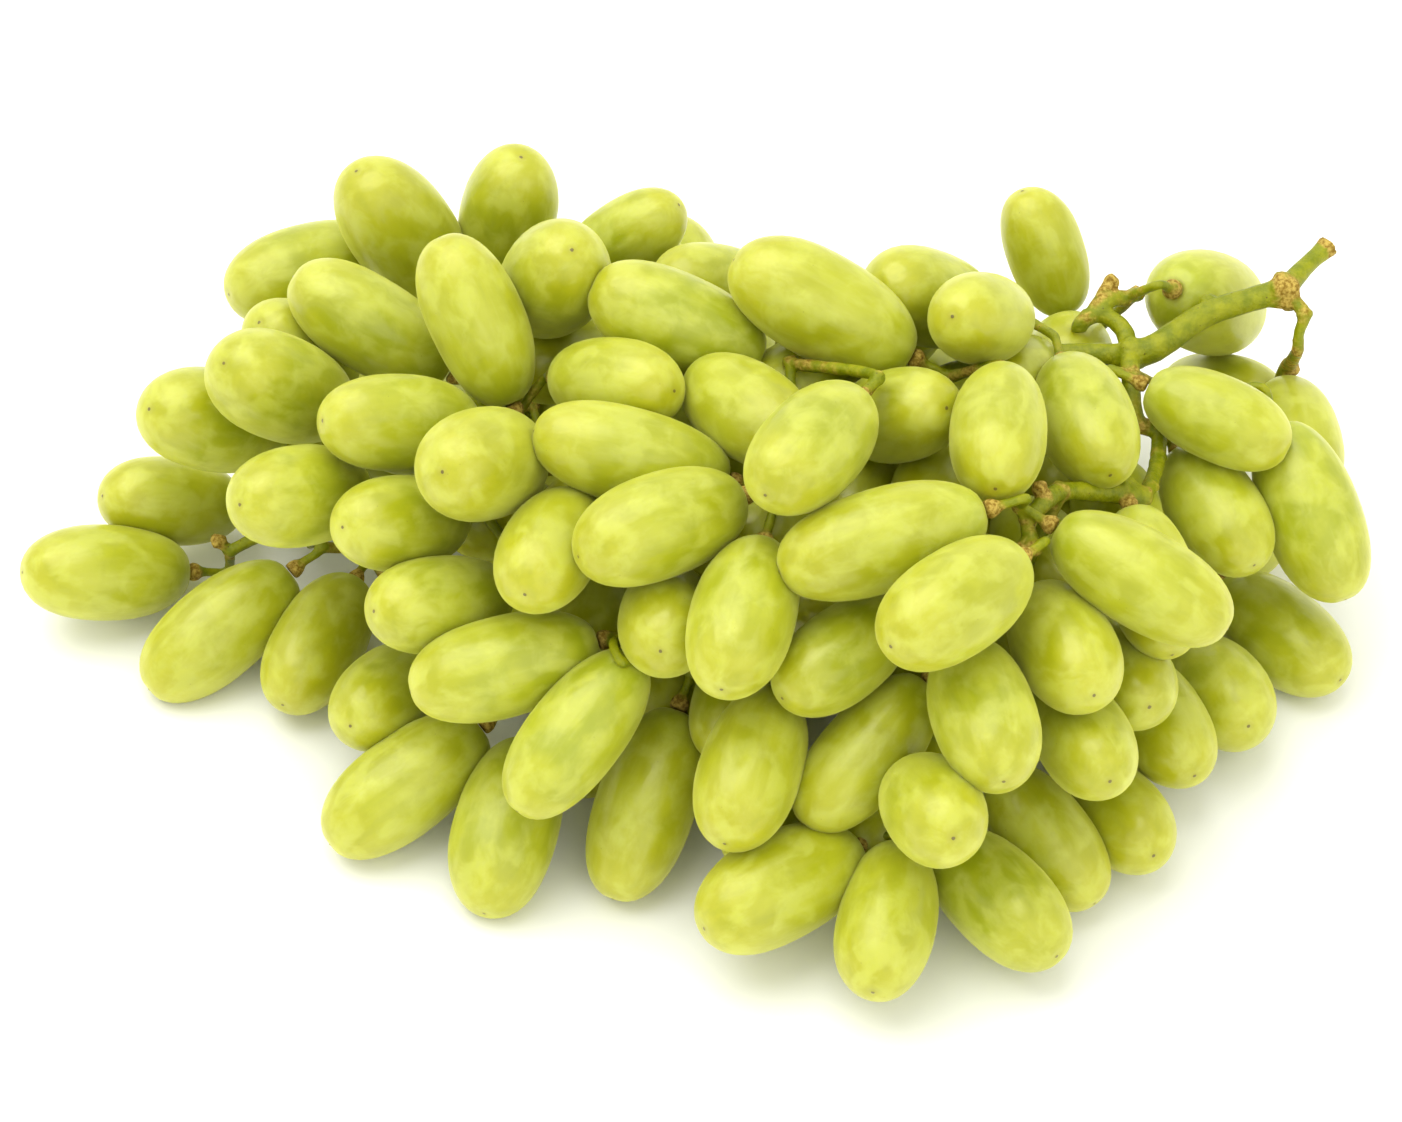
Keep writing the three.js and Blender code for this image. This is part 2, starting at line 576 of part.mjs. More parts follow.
function growStem(list) {
  const nodes = alongCurve(RACHIS, RACHIS_STEP).map((p, i) => stemNode(p, i - 1, 'rachis'));
  for (const path of BRANCHES) addBranch(nodes, path);
  nodes.push(stemNode(atHeight(...SIDE_SHOOT[3]), OFF_THE_TREE, 'shoot'));
  addPedicels(nodes, list);
  const knees = nodes.filter((n) => n.kind === 'knee');
  for (const n of knees) for (let on = n; on; on = nodes[on.up]) on.load++;
  for (const n of knees) runPedicel(n, nodes, list);
  markSprays(nodes, list);
  return nodes;
}

// The spray a berry belongs to: where its branch leaves the rachis. An inner one goes with its neighbour.
function markSprays(nodes, list) {
  const held = list.filter((b) => !b.inner);
  for (const b of list) {
    const nearer = (m, o) => (len(sub(o.c, b.c)) < len(sub(m.c, b.c)) ? o : m);
    let i = (b.inner ? held.reduce(nearer) : b).knee;
    while (nodes[i].up >= 0 && nodes[nodes[i].up].kind !== 'rachis') i = nodes[i].up;
    b.spray = nodes[i].up;
  }
}

// ---- which berries make one body ----
const LARGEST_GROUP = 14;
const SMALLEST_GROUP = 4;
const PLUG_REACH = 1.2;           // berries up to this far apart may be joined
const TOUCH = 0.25;               // and bear on each other by themselves past this overlap
const OTHER_SPRAY = 2;            // joining two sprays counts as this much further apart

function nearPairs(list) {
  const pairs = [];
  for (let i = 0; i < list.length; i++) {
    for (let j = i + 1; j < list.length; j++) {
      const gap = -overlap(list[i], list[j]);
      const same = list[i].spray === list[j].spray;
      if (gap < PLUG_REACH) pairs.push({ gap, same, i, j, cost: gap + (same ? 0 : OTHER_SPRAY) });
    }
  }
  return pairs.sort((a, b) => a.cost - b.cost);
}

// First the berries of each spray, then what is left in small groups.
function groupBerries(list) {
  const home = list.map((_, i) => i);
  const size = list.map(() => 1);
  const root = (i) => (home[i] === i ? i : root(home[i]));
  const joins = [];
  const pairs = nearPairs(list);
  const wanted = [
    (a, b, same) => same && size[a] + size[b] <= LARGEST_GROUP,
    (a, b) => Math.min(size[a], size[b]) < SMALLEST_GROUP && size[a] + size[b] <= LARGEST_GROUP + 3,
  ];
  for (const rule of wanted) {
    for (const { gap, same, i, j } of pairs) {
      const a = root(i);
      const b = root(j);
      if (a === b || !rule(a, b, same)) continue;
      home[b] = a;
      size[a] += size[b];
      if (gap > -TOUCH) joins.push([i, j]);
    }
  }
  const roots = [...new Set(list.map((_, i) => root(i)))];
  list.forEach((b, i) => { b.group = roots.indexOf(root(i)); });
  return roots.map((_, g) => ({
    berries: list.filter((b) => b.group === g),
    joins: joins.filter(([i]) => list[i].group === g).map(([i, j]) => [list[i], list[j]]),
  }));
}

// ---- solids ----
const wasm = await Module();
wasm.setup();
const { Manifold, Mesh } = wasm;

// A three.js geometry as a solid with its corners merged and its faces turned outward.
function solid(geometry, matrix) {
  const g = geometry.index ? geometry.toNonIndexed() : geometry.clone();
  g.deleteAttribute('normal');
  g.deleteAttribute('uv');
  if (matrix) g.applyMatrix4(matrix);
  const merged = mergeVertices(g, 1e-4);
  const corners = Array.from(merged.index.array);
  const at = (i) => new THREE.Vector3().fromBufferAttribute(merged.attributes.position, i);
  const tris = [];
  let volume = 0;
  for (let i = 0; i < corners.length; i += 3) {
    const [a, b, c] = corners.slice(i, i + 3);
    if (a === b || b === c || a === c) continue;
    tris.push([a, b, c]);
    volume += at(a).dot(at(b).cross(at(c)));
  }
  const turned = volume < 0 ? tris.map(([a, b, c]) => [b, a, c]) : tris;
  const vertProperties = Float32Array.from(merged.attributes.position.array);
  return new Manifold(new Mesh({ numProp: 3, vertProperties, triVerts: Uint32Array.from(turned.flat()) }));
}

// Turns +Y onto d and moves to a point.
function along(d, at) {
  const q = new THREE.Quaternion().setFromUnitVectors(new THREE.Vector3(0, 1, 0), new THREE.Vector3(...d));
  return new THREE.Matrix4().compose(new THREE.Vector3(...at), q, new THREE.Vector3(1, 1, 1));
}

function lathe(profile, sides, d, at) {
  return solid(new THREE.LatheGeometry(profile.map((p) => new THREE.Vector2(...p)), sides), along(d, at));
}

const FACET_FILL = 0.28;          // how far a berry's facets bulge out to keep its true volume

function berrySolid(b, grow = 0) {
  const front = b.seen && b.lie !== LIES.inside;
  const sides = front ? SEEN_SIDES : HIDDEN_SIDES;
  const bands = front ? BERRY_BANDS : BERRY_BANDS - 1;
  const fit = 1 + FACET_FILL * (Math.PI / sides) ** 2;
  const e = 2 / BERRY_ROUND;
  const profile = [];
  for (let k = 0; k <= bands; k++) {
    const t = Math.PI * k / bands;
    const c = -Math.cos(t);
    const y = (b.A + grow) * Math.sign(c) * Math.abs(c) ** e;
    const r = k % bands === 0 ? 0 : (b.B + grow) * fit * Math.sin(t) ** e * (1 + BERRY_TAPER * c);
    profile.push([r, y]);
  }
  return lathe(profile, sides, b.d, b.c);
}

// Straight runs between points, one step of a sweep for each.
class Bends extends THREE.Curve {
  constructor(points) {
    super();
    this.points = points.map((p) => new THREE.Vector3(...p));
  }

  getPoint(t, out = new THREE.Vector3()) {
    const n = this.points.length - 1;
    const f = clamp(t, 0, 1) * n;
    const i = Math.min(Math.floor(f), n - 1);
    return out.copy(this.points[i]).lerp(this.points[i + 1], f - i);
  }

  getPointAt(u, out) {
    return this.getPoint(u, out);
  }

  getTangentAt(u, out = new THREE.Vector3()) {
    return out.copy(this.getPoint(u + 0.02)).sub(this.getPoint(u - 0.02)).normalize();
  }
}

// A swept run through points with one radius for each: a unit tube whose rings are then scaled.
function tube(points, radii, sides) {
  const shape = new THREE.Shape();
  for (let i = 0; i < sides; i++) {
    const t = 2 * Math.PI * (i + 0.5) / sides;
    shape[i ? 'lineTo' : 'moveTo'](Math.cos(t), Math.sin(t));
  }
  shape.closePath();
  const path = new Bends(points);
  const sweep = { steps: points.length - 1, bevelEnabled: false, extrudePath: path };
  const g = new THREE.ExtrudeGeometry(shape, sweep);
  const pos = g.attributes.position;
  const v = new THREE.Vector3();
  for (let i = 0; i < pos.count; i++) {
    v.fromBufferAttribute(pos, i);
    let k = 0;
    let best = FAR;
    for (const [n, c] of path.points.entries()) {
      const off = Math.abs(c.distanceTo(v) - 1);
      if (off >= best - 1e-6) continue;
      best = off;
      k = n;
    }
    v.sub(path.points[k]).multiplyScalar(radii[k]).add(path.points[k]);
    pos.setXYZ(i, v.x, v.y, v.z);
  }
  return solid(g);
}

const moved = (p) => new THREE.Matrix4().makeTranslation(...p);
const knob = (p, r) => solid(new THREE.IcosahedronGeometry(r, 0), moved(p));
const bud = (p, r) => solid(new THREE.OctahedronGeometry(r, 0), moved(p));
const joinAll = (parts) => Manifold.union(parts);

// A run of stem, split where it turns sharply, with a swelling there.
function stemRun(points, radii, sides, grow) {
  const made = [];
  let start = 0;
  for (let i = 1; i < points.length; i++) {
    const last = i === points.length - 1;
    const turn = last ? -1 : dot(unit(sub(points[i], points[i - 1])), unit(sub(points[i + 1], points[i])));
    if (turn > SHARP_TURN) continue;
    made.push(tube(points.slice(start, i + 1), radii.slice(start, i + 1).map((r) => r + grow), sides));
    if (!last) made.push(bud(points[i], radii[i] * 1.5 + grow));
    start = i;
  }
  return made;
}

function peduncleSolids(grow) {
  const points = PEDUNCLE.map((q) => atHeight(...q));
  const node = points[PEDUNCLE_NODE];
  const end = points.at(-1);
  const shoot = SIDE_SHOOT.map((q) => atHeight(...q));
  const wide = PEDUNCLE_RADIUS * 0.82 + grow;
  const cut = [[0, -1.6], [PEDUNCLE_RADIUS * 0.74 + grow, -1.6], [wide, 0.2 + grow], [0, 0.2 + grow]];
  const lower = [1.15, 1.1, 1, 0.92, 0.95].map((f) => f * PEDUNCLE_RADIUS);
  const upper = [0.8, 0.68, 0.66].map((f) => f * PEDUNCLE_RADIUS);
  return [
    ...stemRun(points.slice(0, PEDUNCLE_NODE + 1), lower, PEDUNCLE_SIDES, grow),
    ...stemRun(points.slice(PEDUNCLE_NODE), upper, PEDUNCLE_SIDES - 1, grow),
    knob(node, PEDUNCLE_RADIUS * 1.45 + grow),
    knob(points[0], PEDUNCLE_RADIUS * 1.35 + grow),
    lathe(cut, 6, unit(sub(end, points.at(-2))), end),
    ...stemRun(shoot, [1.3, 1.2, 1.1, 1.1], STEM_SIDES, grow),
    bud(shoot[1], 1.75 + grow),
  ];
}

function pedicelSolids(n, grow) {
  const cup = CUP_RADIUS * n.berry.B / BERRY_HALF_WIDTH;
  if (n.straight) return stemRun([n.from, n.end], [n.r * 1.1, cup * 0.75], THIN_SIDES, grow);
  const fuller = n.open ? 1 : 1.2;  // a run of few sides is a little wider
  const radii = n.way.map(() => n.r * fuller);
  radii[radii.length - 1] = PEDICEL_RADIUS * 1.1 * fuller;
  if (!n.open) return stemRun([...n.way, n.end], [...radii, cup * 1.1], THIN_SIDES, grow);
  const neck = sub(n.end, mul(n.berry.d, CUP_LENGTH));
  return stemRun([...n.way, neck, n.end], [...radii, PEDICEL_RADIUS, cup * 1.1], STEM_SIDES, grow);
}

// Every stem piece, grown by a margin when it is used to clear its way.
function stemSolids(nodes, grow = 0) {
  const rachis = nodes.filter((n) => n.kind === 'rachis').map((n) => n.p);
  const made = peduncleSolids(grow);
  const thinning = rachis.map((_, i) => RACHIS_RADIUS * (1 - 0.45 * i / rachis.length));
  made.push(...stemRun(rachis, thinning, STEM_SIDES, grow));
  for (const n of nodes) {
    if (n.chain) {
      const radii = n.chain.map((_, k) => BRANCH_RADIUS * (1.45 - 0.35 * k / n.chain.length));
      made.push(...stemRun(n.chain, radii, STEM_SIDES, grow));
    }
    if (n.kind === 'knee') made.push(...pedicelSolids(n, grow));
  }
  for (const [a, b] of STUBS.map((stub) => stub.map((q) => atHeight(...q)))) {
    made.push(...stemRun([a, b], [1, 1.1], STEM_SIDES, grow));
    made.push(bud(b, 1.6 + grow));
  }
  return made;
}

// ---- the bodies, cut clear of each other ----
const list = facingBerries();
restOfBerries(list);
const nodes = growStem(list);
const groups = groupBerries(list);

const BELOW = [600, 600, 60];     // the block under the resting plane that flattens what sinks into it
const below = solid(new THREE.BoxGeometry(...BELOW), moved([0, 0, -BELOW[2] / 2]));
const largestFirst = (bodies) => bodies.sort((a, b) => b.volume() - a.volume());
const tidied = (whole) => largestFirst(whole.asOriginal().simplify(FINEST).decompose());
const stem = tidied(joinAll(stemSolids(nodes)).subtract(below))[0];

const grownStem = stemSolids(nodes, CUT_CLEAR);
const grownBerries = list.map((b) => berrySolid(b, CUT_CLEAR));
const boxes = new Map([...grownStem, ...grownBerries].map((m) => [m, m.boundingBox()]));

function meets(m, tool) {
  const p = m.boundingBox();
  const q = boxes.get(tool);
  for (let k = 0; k < 3; k++) if (p.max[k] < q.min[k] || q.max[k] < p.min[k]) return false;
  return m.intersect(tool).numTri() > 0;
}

// Cuts the stem's way, and the berries of other bodies that it gives way to, out of a piece of one body.
function clearWay(piece, group, givesTo) {
  const tools = grownStem.filter((s) => meets(piece, s));
  for (const [k, o] of list.entries()) {
    if (o.group !== group && givesTo(o) && meets(piece, grownBerries[k])) tools.push(grownBerries[k]);
  }
  return tools.length ? piece.subtract(joinAll(tools)) : piece;
}

// A berry gives way to the ones nearer the facing side, and behind to those of earlier groups.
function givesWay(b, o) {
  if (b.seen !== o.seen) return !b.seen;
  return b.seen ? b.w < o.w : b.group > o.group;
}

const PLUG_RADIUS = 2.3;
const PLUG_DEPTH = 2.2;           // how far a plug reaches into each berry

// A small flat where two neighbours bear on each other.
function plug(a, b) {
  let best = FAR;
  let ends = null;
  for (const p of a.balls) {
    for (const q of b.balls) {
      const off = sub(q, p);
      const l = len(off);
      if (l - p[3] - q[3] >= best) continue;
      best = l - p[3] - q[3];
      const e = mul(off, 1 / l);
      ends = [add(p, mul(e, p[3] - PLUG_DEPTH)), sub(q, mul(e, q[3] - PLUG_DEPTH))];
    }
  }
  return tube(ends, [PLUG_RADIUS, PLUG_RADIUS], THIN_SIDES);
}

const NEAR_PLANE = 0.6;           // a group that reaches below this is cut level at the plane

function groupBodies(g, index) {
  const parts = g.berries.map((b) => clearWay(berrySolid(b), index, (o) => givesWay(b, o)));
  for (const [a, b] of g.joins) parts.push(clearWay(plug(a, b), index, () => true));
  const whole = joinAll(parts);
  const low = Math.min(...g.berries.map(lowest)) < NEAR_PLANE;
  return tidied(low ? whole.subtract(below) : whole).filter((m) => m.volume() > SMALLEST_BODY);
}

// ---- the named nodes ----
const STEM_LOOK = { color: 0x8f9440, roughness: 0.75 };
const BERRY_ROUGHNESS = 0.4;
const BERRY_COLOURS = [0xc9cf52, 0xc2cc4a, 0xd0d25a, 0xbfc846, 0xccd04e];

function toMesh(name, m, look) {
  const raw = m.getMesh();
  const places = [];
  for (let i = 0; i < raw.numVert; i++) {
    const [x, y, z] = raw.vertProperties.slice(raw.numProp * i, raw.numProp * i + 3);
    places.push(x - MIDDLE[0], y - MIDDLE[1], z);
  }
  const g = new THREE.BufferGeometry();
  g.setAttribute('position', new THREE.Float32BufferAttribute(places, 3));
  g.setIndex(new THREE.BufferAttribute(Uint32Array.from(raw.triVerts), 1));
  g.computeVertexNormals();
  const material = new THREE.MeshStandardMaterial({ ...look, metalness: 0, flatShading: true });
  const mesh = new THREE.Mesh(g, material);
  mesh.name = name;
  return mesh;
}

const group = new THREE.Group();
group.name = 'green_grape_bunch';
group.add(toMesh('stem', stem, STEM_LOOK));
for (const [i, m] of groups.flatMap(groupBodies).entries()) {
  const look = { color: BERRY_COLOURS[i % BERRY_COLOURS.length], roughness: BERRY_ROUGHNESS };
  group.add(toMesh(`grapes_${String(i + 1).padStart(2, '0')}`, m, look));
}
export default group;
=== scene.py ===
"""Bunch of long green grapes lying on its side: the looks, in metres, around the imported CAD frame."""
from dataclasses import dataclass
from itertools import combinations
from math import atan2, ceil, cos, floor, hypot, pi, sin, sqrt

import bpy
import numpy as np
from mathutils import Matrix, Vector, kdtree


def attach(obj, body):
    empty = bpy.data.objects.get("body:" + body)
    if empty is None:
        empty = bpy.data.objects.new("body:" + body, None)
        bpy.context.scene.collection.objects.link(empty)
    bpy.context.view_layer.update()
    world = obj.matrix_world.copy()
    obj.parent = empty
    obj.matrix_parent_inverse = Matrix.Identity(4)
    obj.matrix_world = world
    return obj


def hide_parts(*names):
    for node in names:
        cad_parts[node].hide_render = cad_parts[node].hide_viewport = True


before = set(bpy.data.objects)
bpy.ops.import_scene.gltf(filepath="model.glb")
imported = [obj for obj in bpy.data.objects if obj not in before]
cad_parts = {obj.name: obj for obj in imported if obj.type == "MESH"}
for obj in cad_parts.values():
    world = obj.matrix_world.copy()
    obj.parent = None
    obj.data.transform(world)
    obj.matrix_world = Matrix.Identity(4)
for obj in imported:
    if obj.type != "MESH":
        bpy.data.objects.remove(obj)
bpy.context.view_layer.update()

# ---- driving dimensions in millimetres, the same as the solids'
BUNCH_HALF_X = 107
BUNCH_HALF_Y = 69
BUNCH_TOP_Z = 64
BUNCH_MID = (4, 22)
BERRY_ROUND = 2.25
BERRY_TAPER = 0.035
BERRY_LENGTH_RATIO = 1.8
BERRY_HALF_WIDTH = 8.4
PRESS = 0.6
SINK = 0.8
CLEAR = 0.3
PEDICEL_LENGTH = 6.5
LIFT = 2
SHOOT_SPACING = 2.3
PEDICEL_RADIUS = 0.75
CUP_RADIUS = 1.9
CUP_LENGTH = 1.7
BRANCH_RADIUS = 1.0
RACHIS_RADIUS = 2.0
PEDUNCLE_RADIUS = 2.3
RACHIS_STEP = 7  # shoots may leave the rachis this far apart
WAY_CLEAR = 0.3  # stems keep this far from the berries they pass
BALL_MARGIN = 1.02  # and take each berry to be this much larger
MOST_SHOOTS = 3  # a stem point carries at most one more shoot than this
MOVE_TO_FRAME = (2.4, -13.0, 0.0)  # from the layout's origin to the frame's
MM = 0.001
FAR = 1e9
NO_TOUCH = -9

# ---- slanted elevation sheet the front berries are set out on
SHEET_PER_MM = 5.9
SHEET_MID = (701, 561)
SHEET_LEAN = 45
SHEET_EYE = 700
SHEET_HEIGHT = 35
PLANE, INSIDE, AWAY = 1, 2, 3
LOW_BUT_OPEN = "f09"
SHOOT_BERRY = "b34"

# Berries on the facing side, rearmost first: name, tip, stem end, width and how it lies.
# 0 rests on its neighbours, 1 lies on the plane, 2 is sunk inside, 3 points away.
FACING = [
    ("f01", 505, 375, 640, 345, 88, 2), ("f02", 445, 530, 560, 505, 86, 2),
    ("f03", 740, 570, 800, 470, 88, 2), ("f04", 830, 560, 900, 440, 90, 2),
    ("f05", 745, 400, 880, 360, 92, 2), ("f06", 575, 675, 620, 560, 92, 2),
    ("f07", 1050, 520, 1080, 400, 92, 2), ("f08", 1120, 570, 1112, 455, 92, 2),
    ("f10", 1075, 610, 1010, 500, 88, 2), ("f11", 725, 850, 850, 800, 92, 2),
    ("f12", 905, 530, 970, 440, 84, 2), ("f13", 1030, 380, 1110, 330, 88, 2),
    ("f14", 985, 400, 1060, 350, 84, 2), ("f15", 850, 870, 900, 760, 88, 2),
    ("f16", 925, 800, 950, 690, 84, 2), ("f17", 660, 740, 710, 620, 90, 2),
    ("f18", 715, 760, 760, 630, 88, 2), ("f19", 790, 640, 860, 560, 84, 2),
    ("b01", 229, 298, 385, 246, 98, 0), ("b03", 528, 153, 486, 281, 98, 0),
    ("b02", 357, 170, 449, 298, 107, 0), ("b08", 254, 318, 350, 385, 92, 0),
    ("b04", 682, 206, 566, 274, 82, 0), ("b14", 652, 280, 785, 300, 93, 0),
    ("b24", 862, 285, 995, 310, 100, 0), ("b26", 1020, 191, 1071, 314, 78, 0),
    ("b27", 1268, 312, 1143, 292, 105, 3), ("b33", 1282, 415, 1163, 380, 92, 0),
    ("b34", 1302, 503, 1289, 376, 90, 0), ("b65", 101, 495, 243, 508, 91, 0),
    ("b10", 146, 409, 285, 432, 104, 0), ("b66", 234, 507, 368, 485, 101, 0),
    ("b09", 217, 361, 345, 414, 107, 0), ("b05", 595, 238, 511, 322, 106, 0),
    ("b06", 294, 277, 450, 373, 97, 0), ("b13", 591, 286, 764, 359, 101, 0),
    ("b15", 734, 260, 913, 356, 106, 0), ("b16", 683, 394, 547, 374, 93, 0),
    ("b17", 806, 451, 688, 369, 98, 0), ("b07", 441, 238, 512, 404, 97, 0),
    ("b67", 336, 530, 468, 515, 97, 0), ("b11", 321, 423, 478, 422, 98, 0),
    ("b12", 422, 480, 546, 448, 113, 0), ("b25", 929, 324, 1036, 312, 91, 0),
    ("b20", 959, 410, 838, 420, 97, 0), ("b29", 1106, 486, 1066, 352, 97, 0),
    ("b28", 989, 500, 1008, 363, 97, 0), ("b64", 25, 573, 188, 572, 97, 1),
    ("b63", 147, 691, 293, 569, 99, 1), ("b62", 283, 712, 354, 574, 98, 1),
    ("b60", 343, 737, 429, 655, 96, 0), ("b61", 369, 613, 512, 594, 98, 0),
    ("b58", 329, 844, 483, 726, 102, 1), ("b59", 410, 691, 600, 641, 104, 0),
    ("b68", 520, 607, 582, 491, 100, 0), ("b57", 485, 914, 529, 738, 108, 1),
    ("b55", 613, 900, 679, 707, 103, 1), ("b56", 517, 811, 637, 655, 98, 0),
    ("b54", 655, 674, 680, 565, 100, 0), ("b52", 723, 846, 780, 689, 104, 0),
    ("b51", 779, 700, 905, 608, 94, 0), ("b53", 720, 694, 766, 538, 106, 0),
    ("b23", 780, 570, 986, 510, 102, 0), ("b19", 760, 502, 865, 391, 103, 0),
    ("b21", 533, 432, 731, 480, 97, 0), ("b22", 577, 557, 745, 495, 106, 0),
    ("b49", 701, 925, 861, 849, 107, 1), ("b50", 804, 825, 928, 681, 94, 0),
    ("b45", 1156, 861, 1076, 767, 94, 1), ("b38", 1338, 684, 1223, 582, 96, 1),
    ("b39", 1250, 742, 1187, 640, 100, 1), ("b41", 1191, 782, 1129, 660, 94, 1),
    ("b40", 1150, 723, 1098, 625, 94, 0), ("b42", 1110, 791, 1052, 681, 96, 0),
    ("b48", 869, 992, 905, 848, 98, 1), ("b44", 1092, 903, 1000, 772, 92, 1),
    ("b47", 1054, 954, 942, 842, 100, 1), ("b46", 964, 853, 900, 765, 99, 0),
    ("b43", 1002, 786, 964, 640, 103, 0), ("b32", 1342, 599, 1279, 424, 96, 0),
    ("b31", 1250, 572, 1181, 446, 93, 0), ("b30", 1286, 451, 1148, 385, 86, 0),
    ("f09", 1168, 655, 1134, 507, 90, 2), ("b37", 1092, 706, 1036, 586, 100, 0),
    ("b36", 885, 647, 1027, 557, 107, 0), ("b35", 1224, 628, 1058, 528, 98, 0),
]
# outline of the bunch on the sheet, without the stems and the lone berry at the left end
OUTLINE = [
    (101, 500), (118, 462), (148, 450), (150, 395), (215, 370), (250, 318), (230, 290), (290, 230),
    (345, 218), (345, 180), (380, 165), (425, 175), (465, 205), (490, 160), (530, 155), (558, 210),
    (590, 215), (655, 192), (688, 215), (730, 250), (800, 248), (870, 268), (930, 255), (980, 275),
    (1015, 290), (1085, 320), (1120, 335), (1170, 262), (1230, 255), (1262, 290), (1250, 345), (1262, 372),
    (1330, 395), (1345, 460), (1362, 520), (1362, 580), (1330, 600), (1342, 655), (1335, 688), (1270, 690),
    (1262, 730), (1230, 750), (1200, 780), (1165, 790), (1160, 855), (1115, 865), (1095, 900), (1062, 905),
    (1050, 955), (1005, 955), (940, 925), (905, 985), (865, 985), (840, 950), (800, 930), (725, 940),
    (700, 905), (715, 865), (700, 810), (650, 895), (612, 895), (590, 850), (560, 845), (515, 910),
    (470, 905), (452, 850), (400, 830), (350, 850), (325, 830), (345, 785), (325, 735), (285, 712),
    (260, 690), (225, 685), (165, 700), (142, 680), (165, 620), (220, 580), (200, 535), (140, 545),
]
# open gaps one can look through: centre and radius on the sheet
GAPS = [(1138, 405, 8), (1145, 446, 7), (215, 556, 14), (256, 551, 7), (335, 566, 12)]


# ---- small vector helpers
def add(a, b):
    return (a[0] + b[0], a[1] + b[1], a[2] + b[2])


def sub(a, b):
    return (a[0] - b[0], a[1] - b[1], a[2] - b[2])


def mul(a, k):
    return (a[0] * k, a[1] * k, a[2] * k)


def dot(a, b):
    return a[0] * b[0] + a[1] * b[1] + a[2] * b[2]


def length(a):
    return sqrt(dot(a, a))


def apart(a, b):
    return length(sub(a, b))


def unit(a):
    return mul(a, 1 / (length(a) or 1))


def clamp(x, low, high):
    return max(low, min(high, x))


def random_draw(seed):
    """Seeded numbers from 0 to 1, the same as the solids' own."""
    state = seed

    def draw():
        nonlocal state
        state = (state * 1664525 + 1013904223) % 4294967296
        return state / 4294967296

    return draw


# ---- sheet to space
LEAN_S = sin(SHEET_LEAN * pi / 180)
LEAN_C = cos(SHEET_LEAN * pi / 180)
UP = (0, LEAN_S, LEAN_C)
OUT = (0, -LEAN_C, LEAN_S)


def on_sheet(px, py):
    return (px - SHEET_MID[0]) / SHEET_PER_MM, (SHEET_MID[1] - py) / SHEET_PER_MM


def place(u, v, w):
    k = 1 - w / SHEET_EYE
    return (k * u, k * v * UP[1] + w * OUT[1], SHEET_HEIGHT + k * v * UP[2] + w * OUT[2])


def at_height(px, py, z):
    """The point under a sheet position at a given height."""
    u, v = on_sheet(px, py)
    w = (z - SHEET_HEIGHT - v * LEAN_C) / (LEAN_S - v * LEAN_C / SHEET_EYE)
    return place(u, v, w)


def to_sheet(p):
    """Sheet position and depth of a point."""
    q = (p[0], p[1], p[2] - SHEET_HEIGHT)
    w = dot(q, OUT)
    k = 1 - w / SHEET_EYE
    return SHEET_MID[0] + q[0] / k * SHEET_PER_MM, SHEET_MID[1] - dot(q, UP) / k * SHEET_PER_MM, w


# ---- berries as chains of balls
@dataclass(eq=False)
class Berry:
    """A long berry: centre c, axis d towards the tip, half length A and half width B."""

    name: str
    d: tuple
    A: float
    B: float
    inner: bool = False

    def move_to(self, c):
        """Puts the centre at c and lays the five balls along the axis."""
        self.c = c
        tip = self.B * self.B / self.A * 1.15
        far = self.A - tip
        slim = (self.A * self.A - self.B * self.B) / (self.A * self.A)
        shoulder = self.B * sqrt(1 - 0.25 * slim) * 0.99
        self.balls = []
        for f, r in ((-1, tip), (-0.5, shoulder), (0, self.B), (0.5, shoulder), (1, tip)):
            self.balls.append((*add(c, mul(self.d, f * far)), r * (1 + BERRY_TAPER * f)))

    def lowest(self):
        steep = self.d[2] * self.d[2]
        return self.c[2] - sqrt(self.A * self.A * steep + self.B * self.B * (1 - steep))


def mound_depth(u, v):
    """Depth of the mound's surface under a sheet position."""
    y0 = v * UP[1] - BUNCH_MID[1]
    z0 = SHEET_HEIGHT + v * UP[2]
    x = (u - BUNCH_MID[0]) / BUNCH_HALF_X
    Y = BUNCH_HALF_Y ** 2
    Z = BUNCH_TOP_Z ** 2
    a = OUT[1] * OUT[1] / Y + OUT[2] * OUT[2] / Z
    b = 2 * (y0 * OUT[1] / Y + z0 * OUT[2] / Z)
    c = x * x + y0 * y0 / Y + z0 * z0 / Z - 1
    return (-b + sqrt(max(0, b * b - 4 * a * c))) / (2 * a)


INSIDE_DEPTH = 15  # sunk berries lie this far under the mound's surface
STEEPEST = 0.02  # least share of a berry's length squared that shows level
FREE_ON_PLANE = 0.12  # how readily a berry on the plane gives way
PULL = 0.06  # how strongly a berry is drawn to its own depth in one round
PULLED_ROUNDS = 150
ALL_ROUNDS = 220
GIVE = 0.55  # share of an overlap that one round undoes


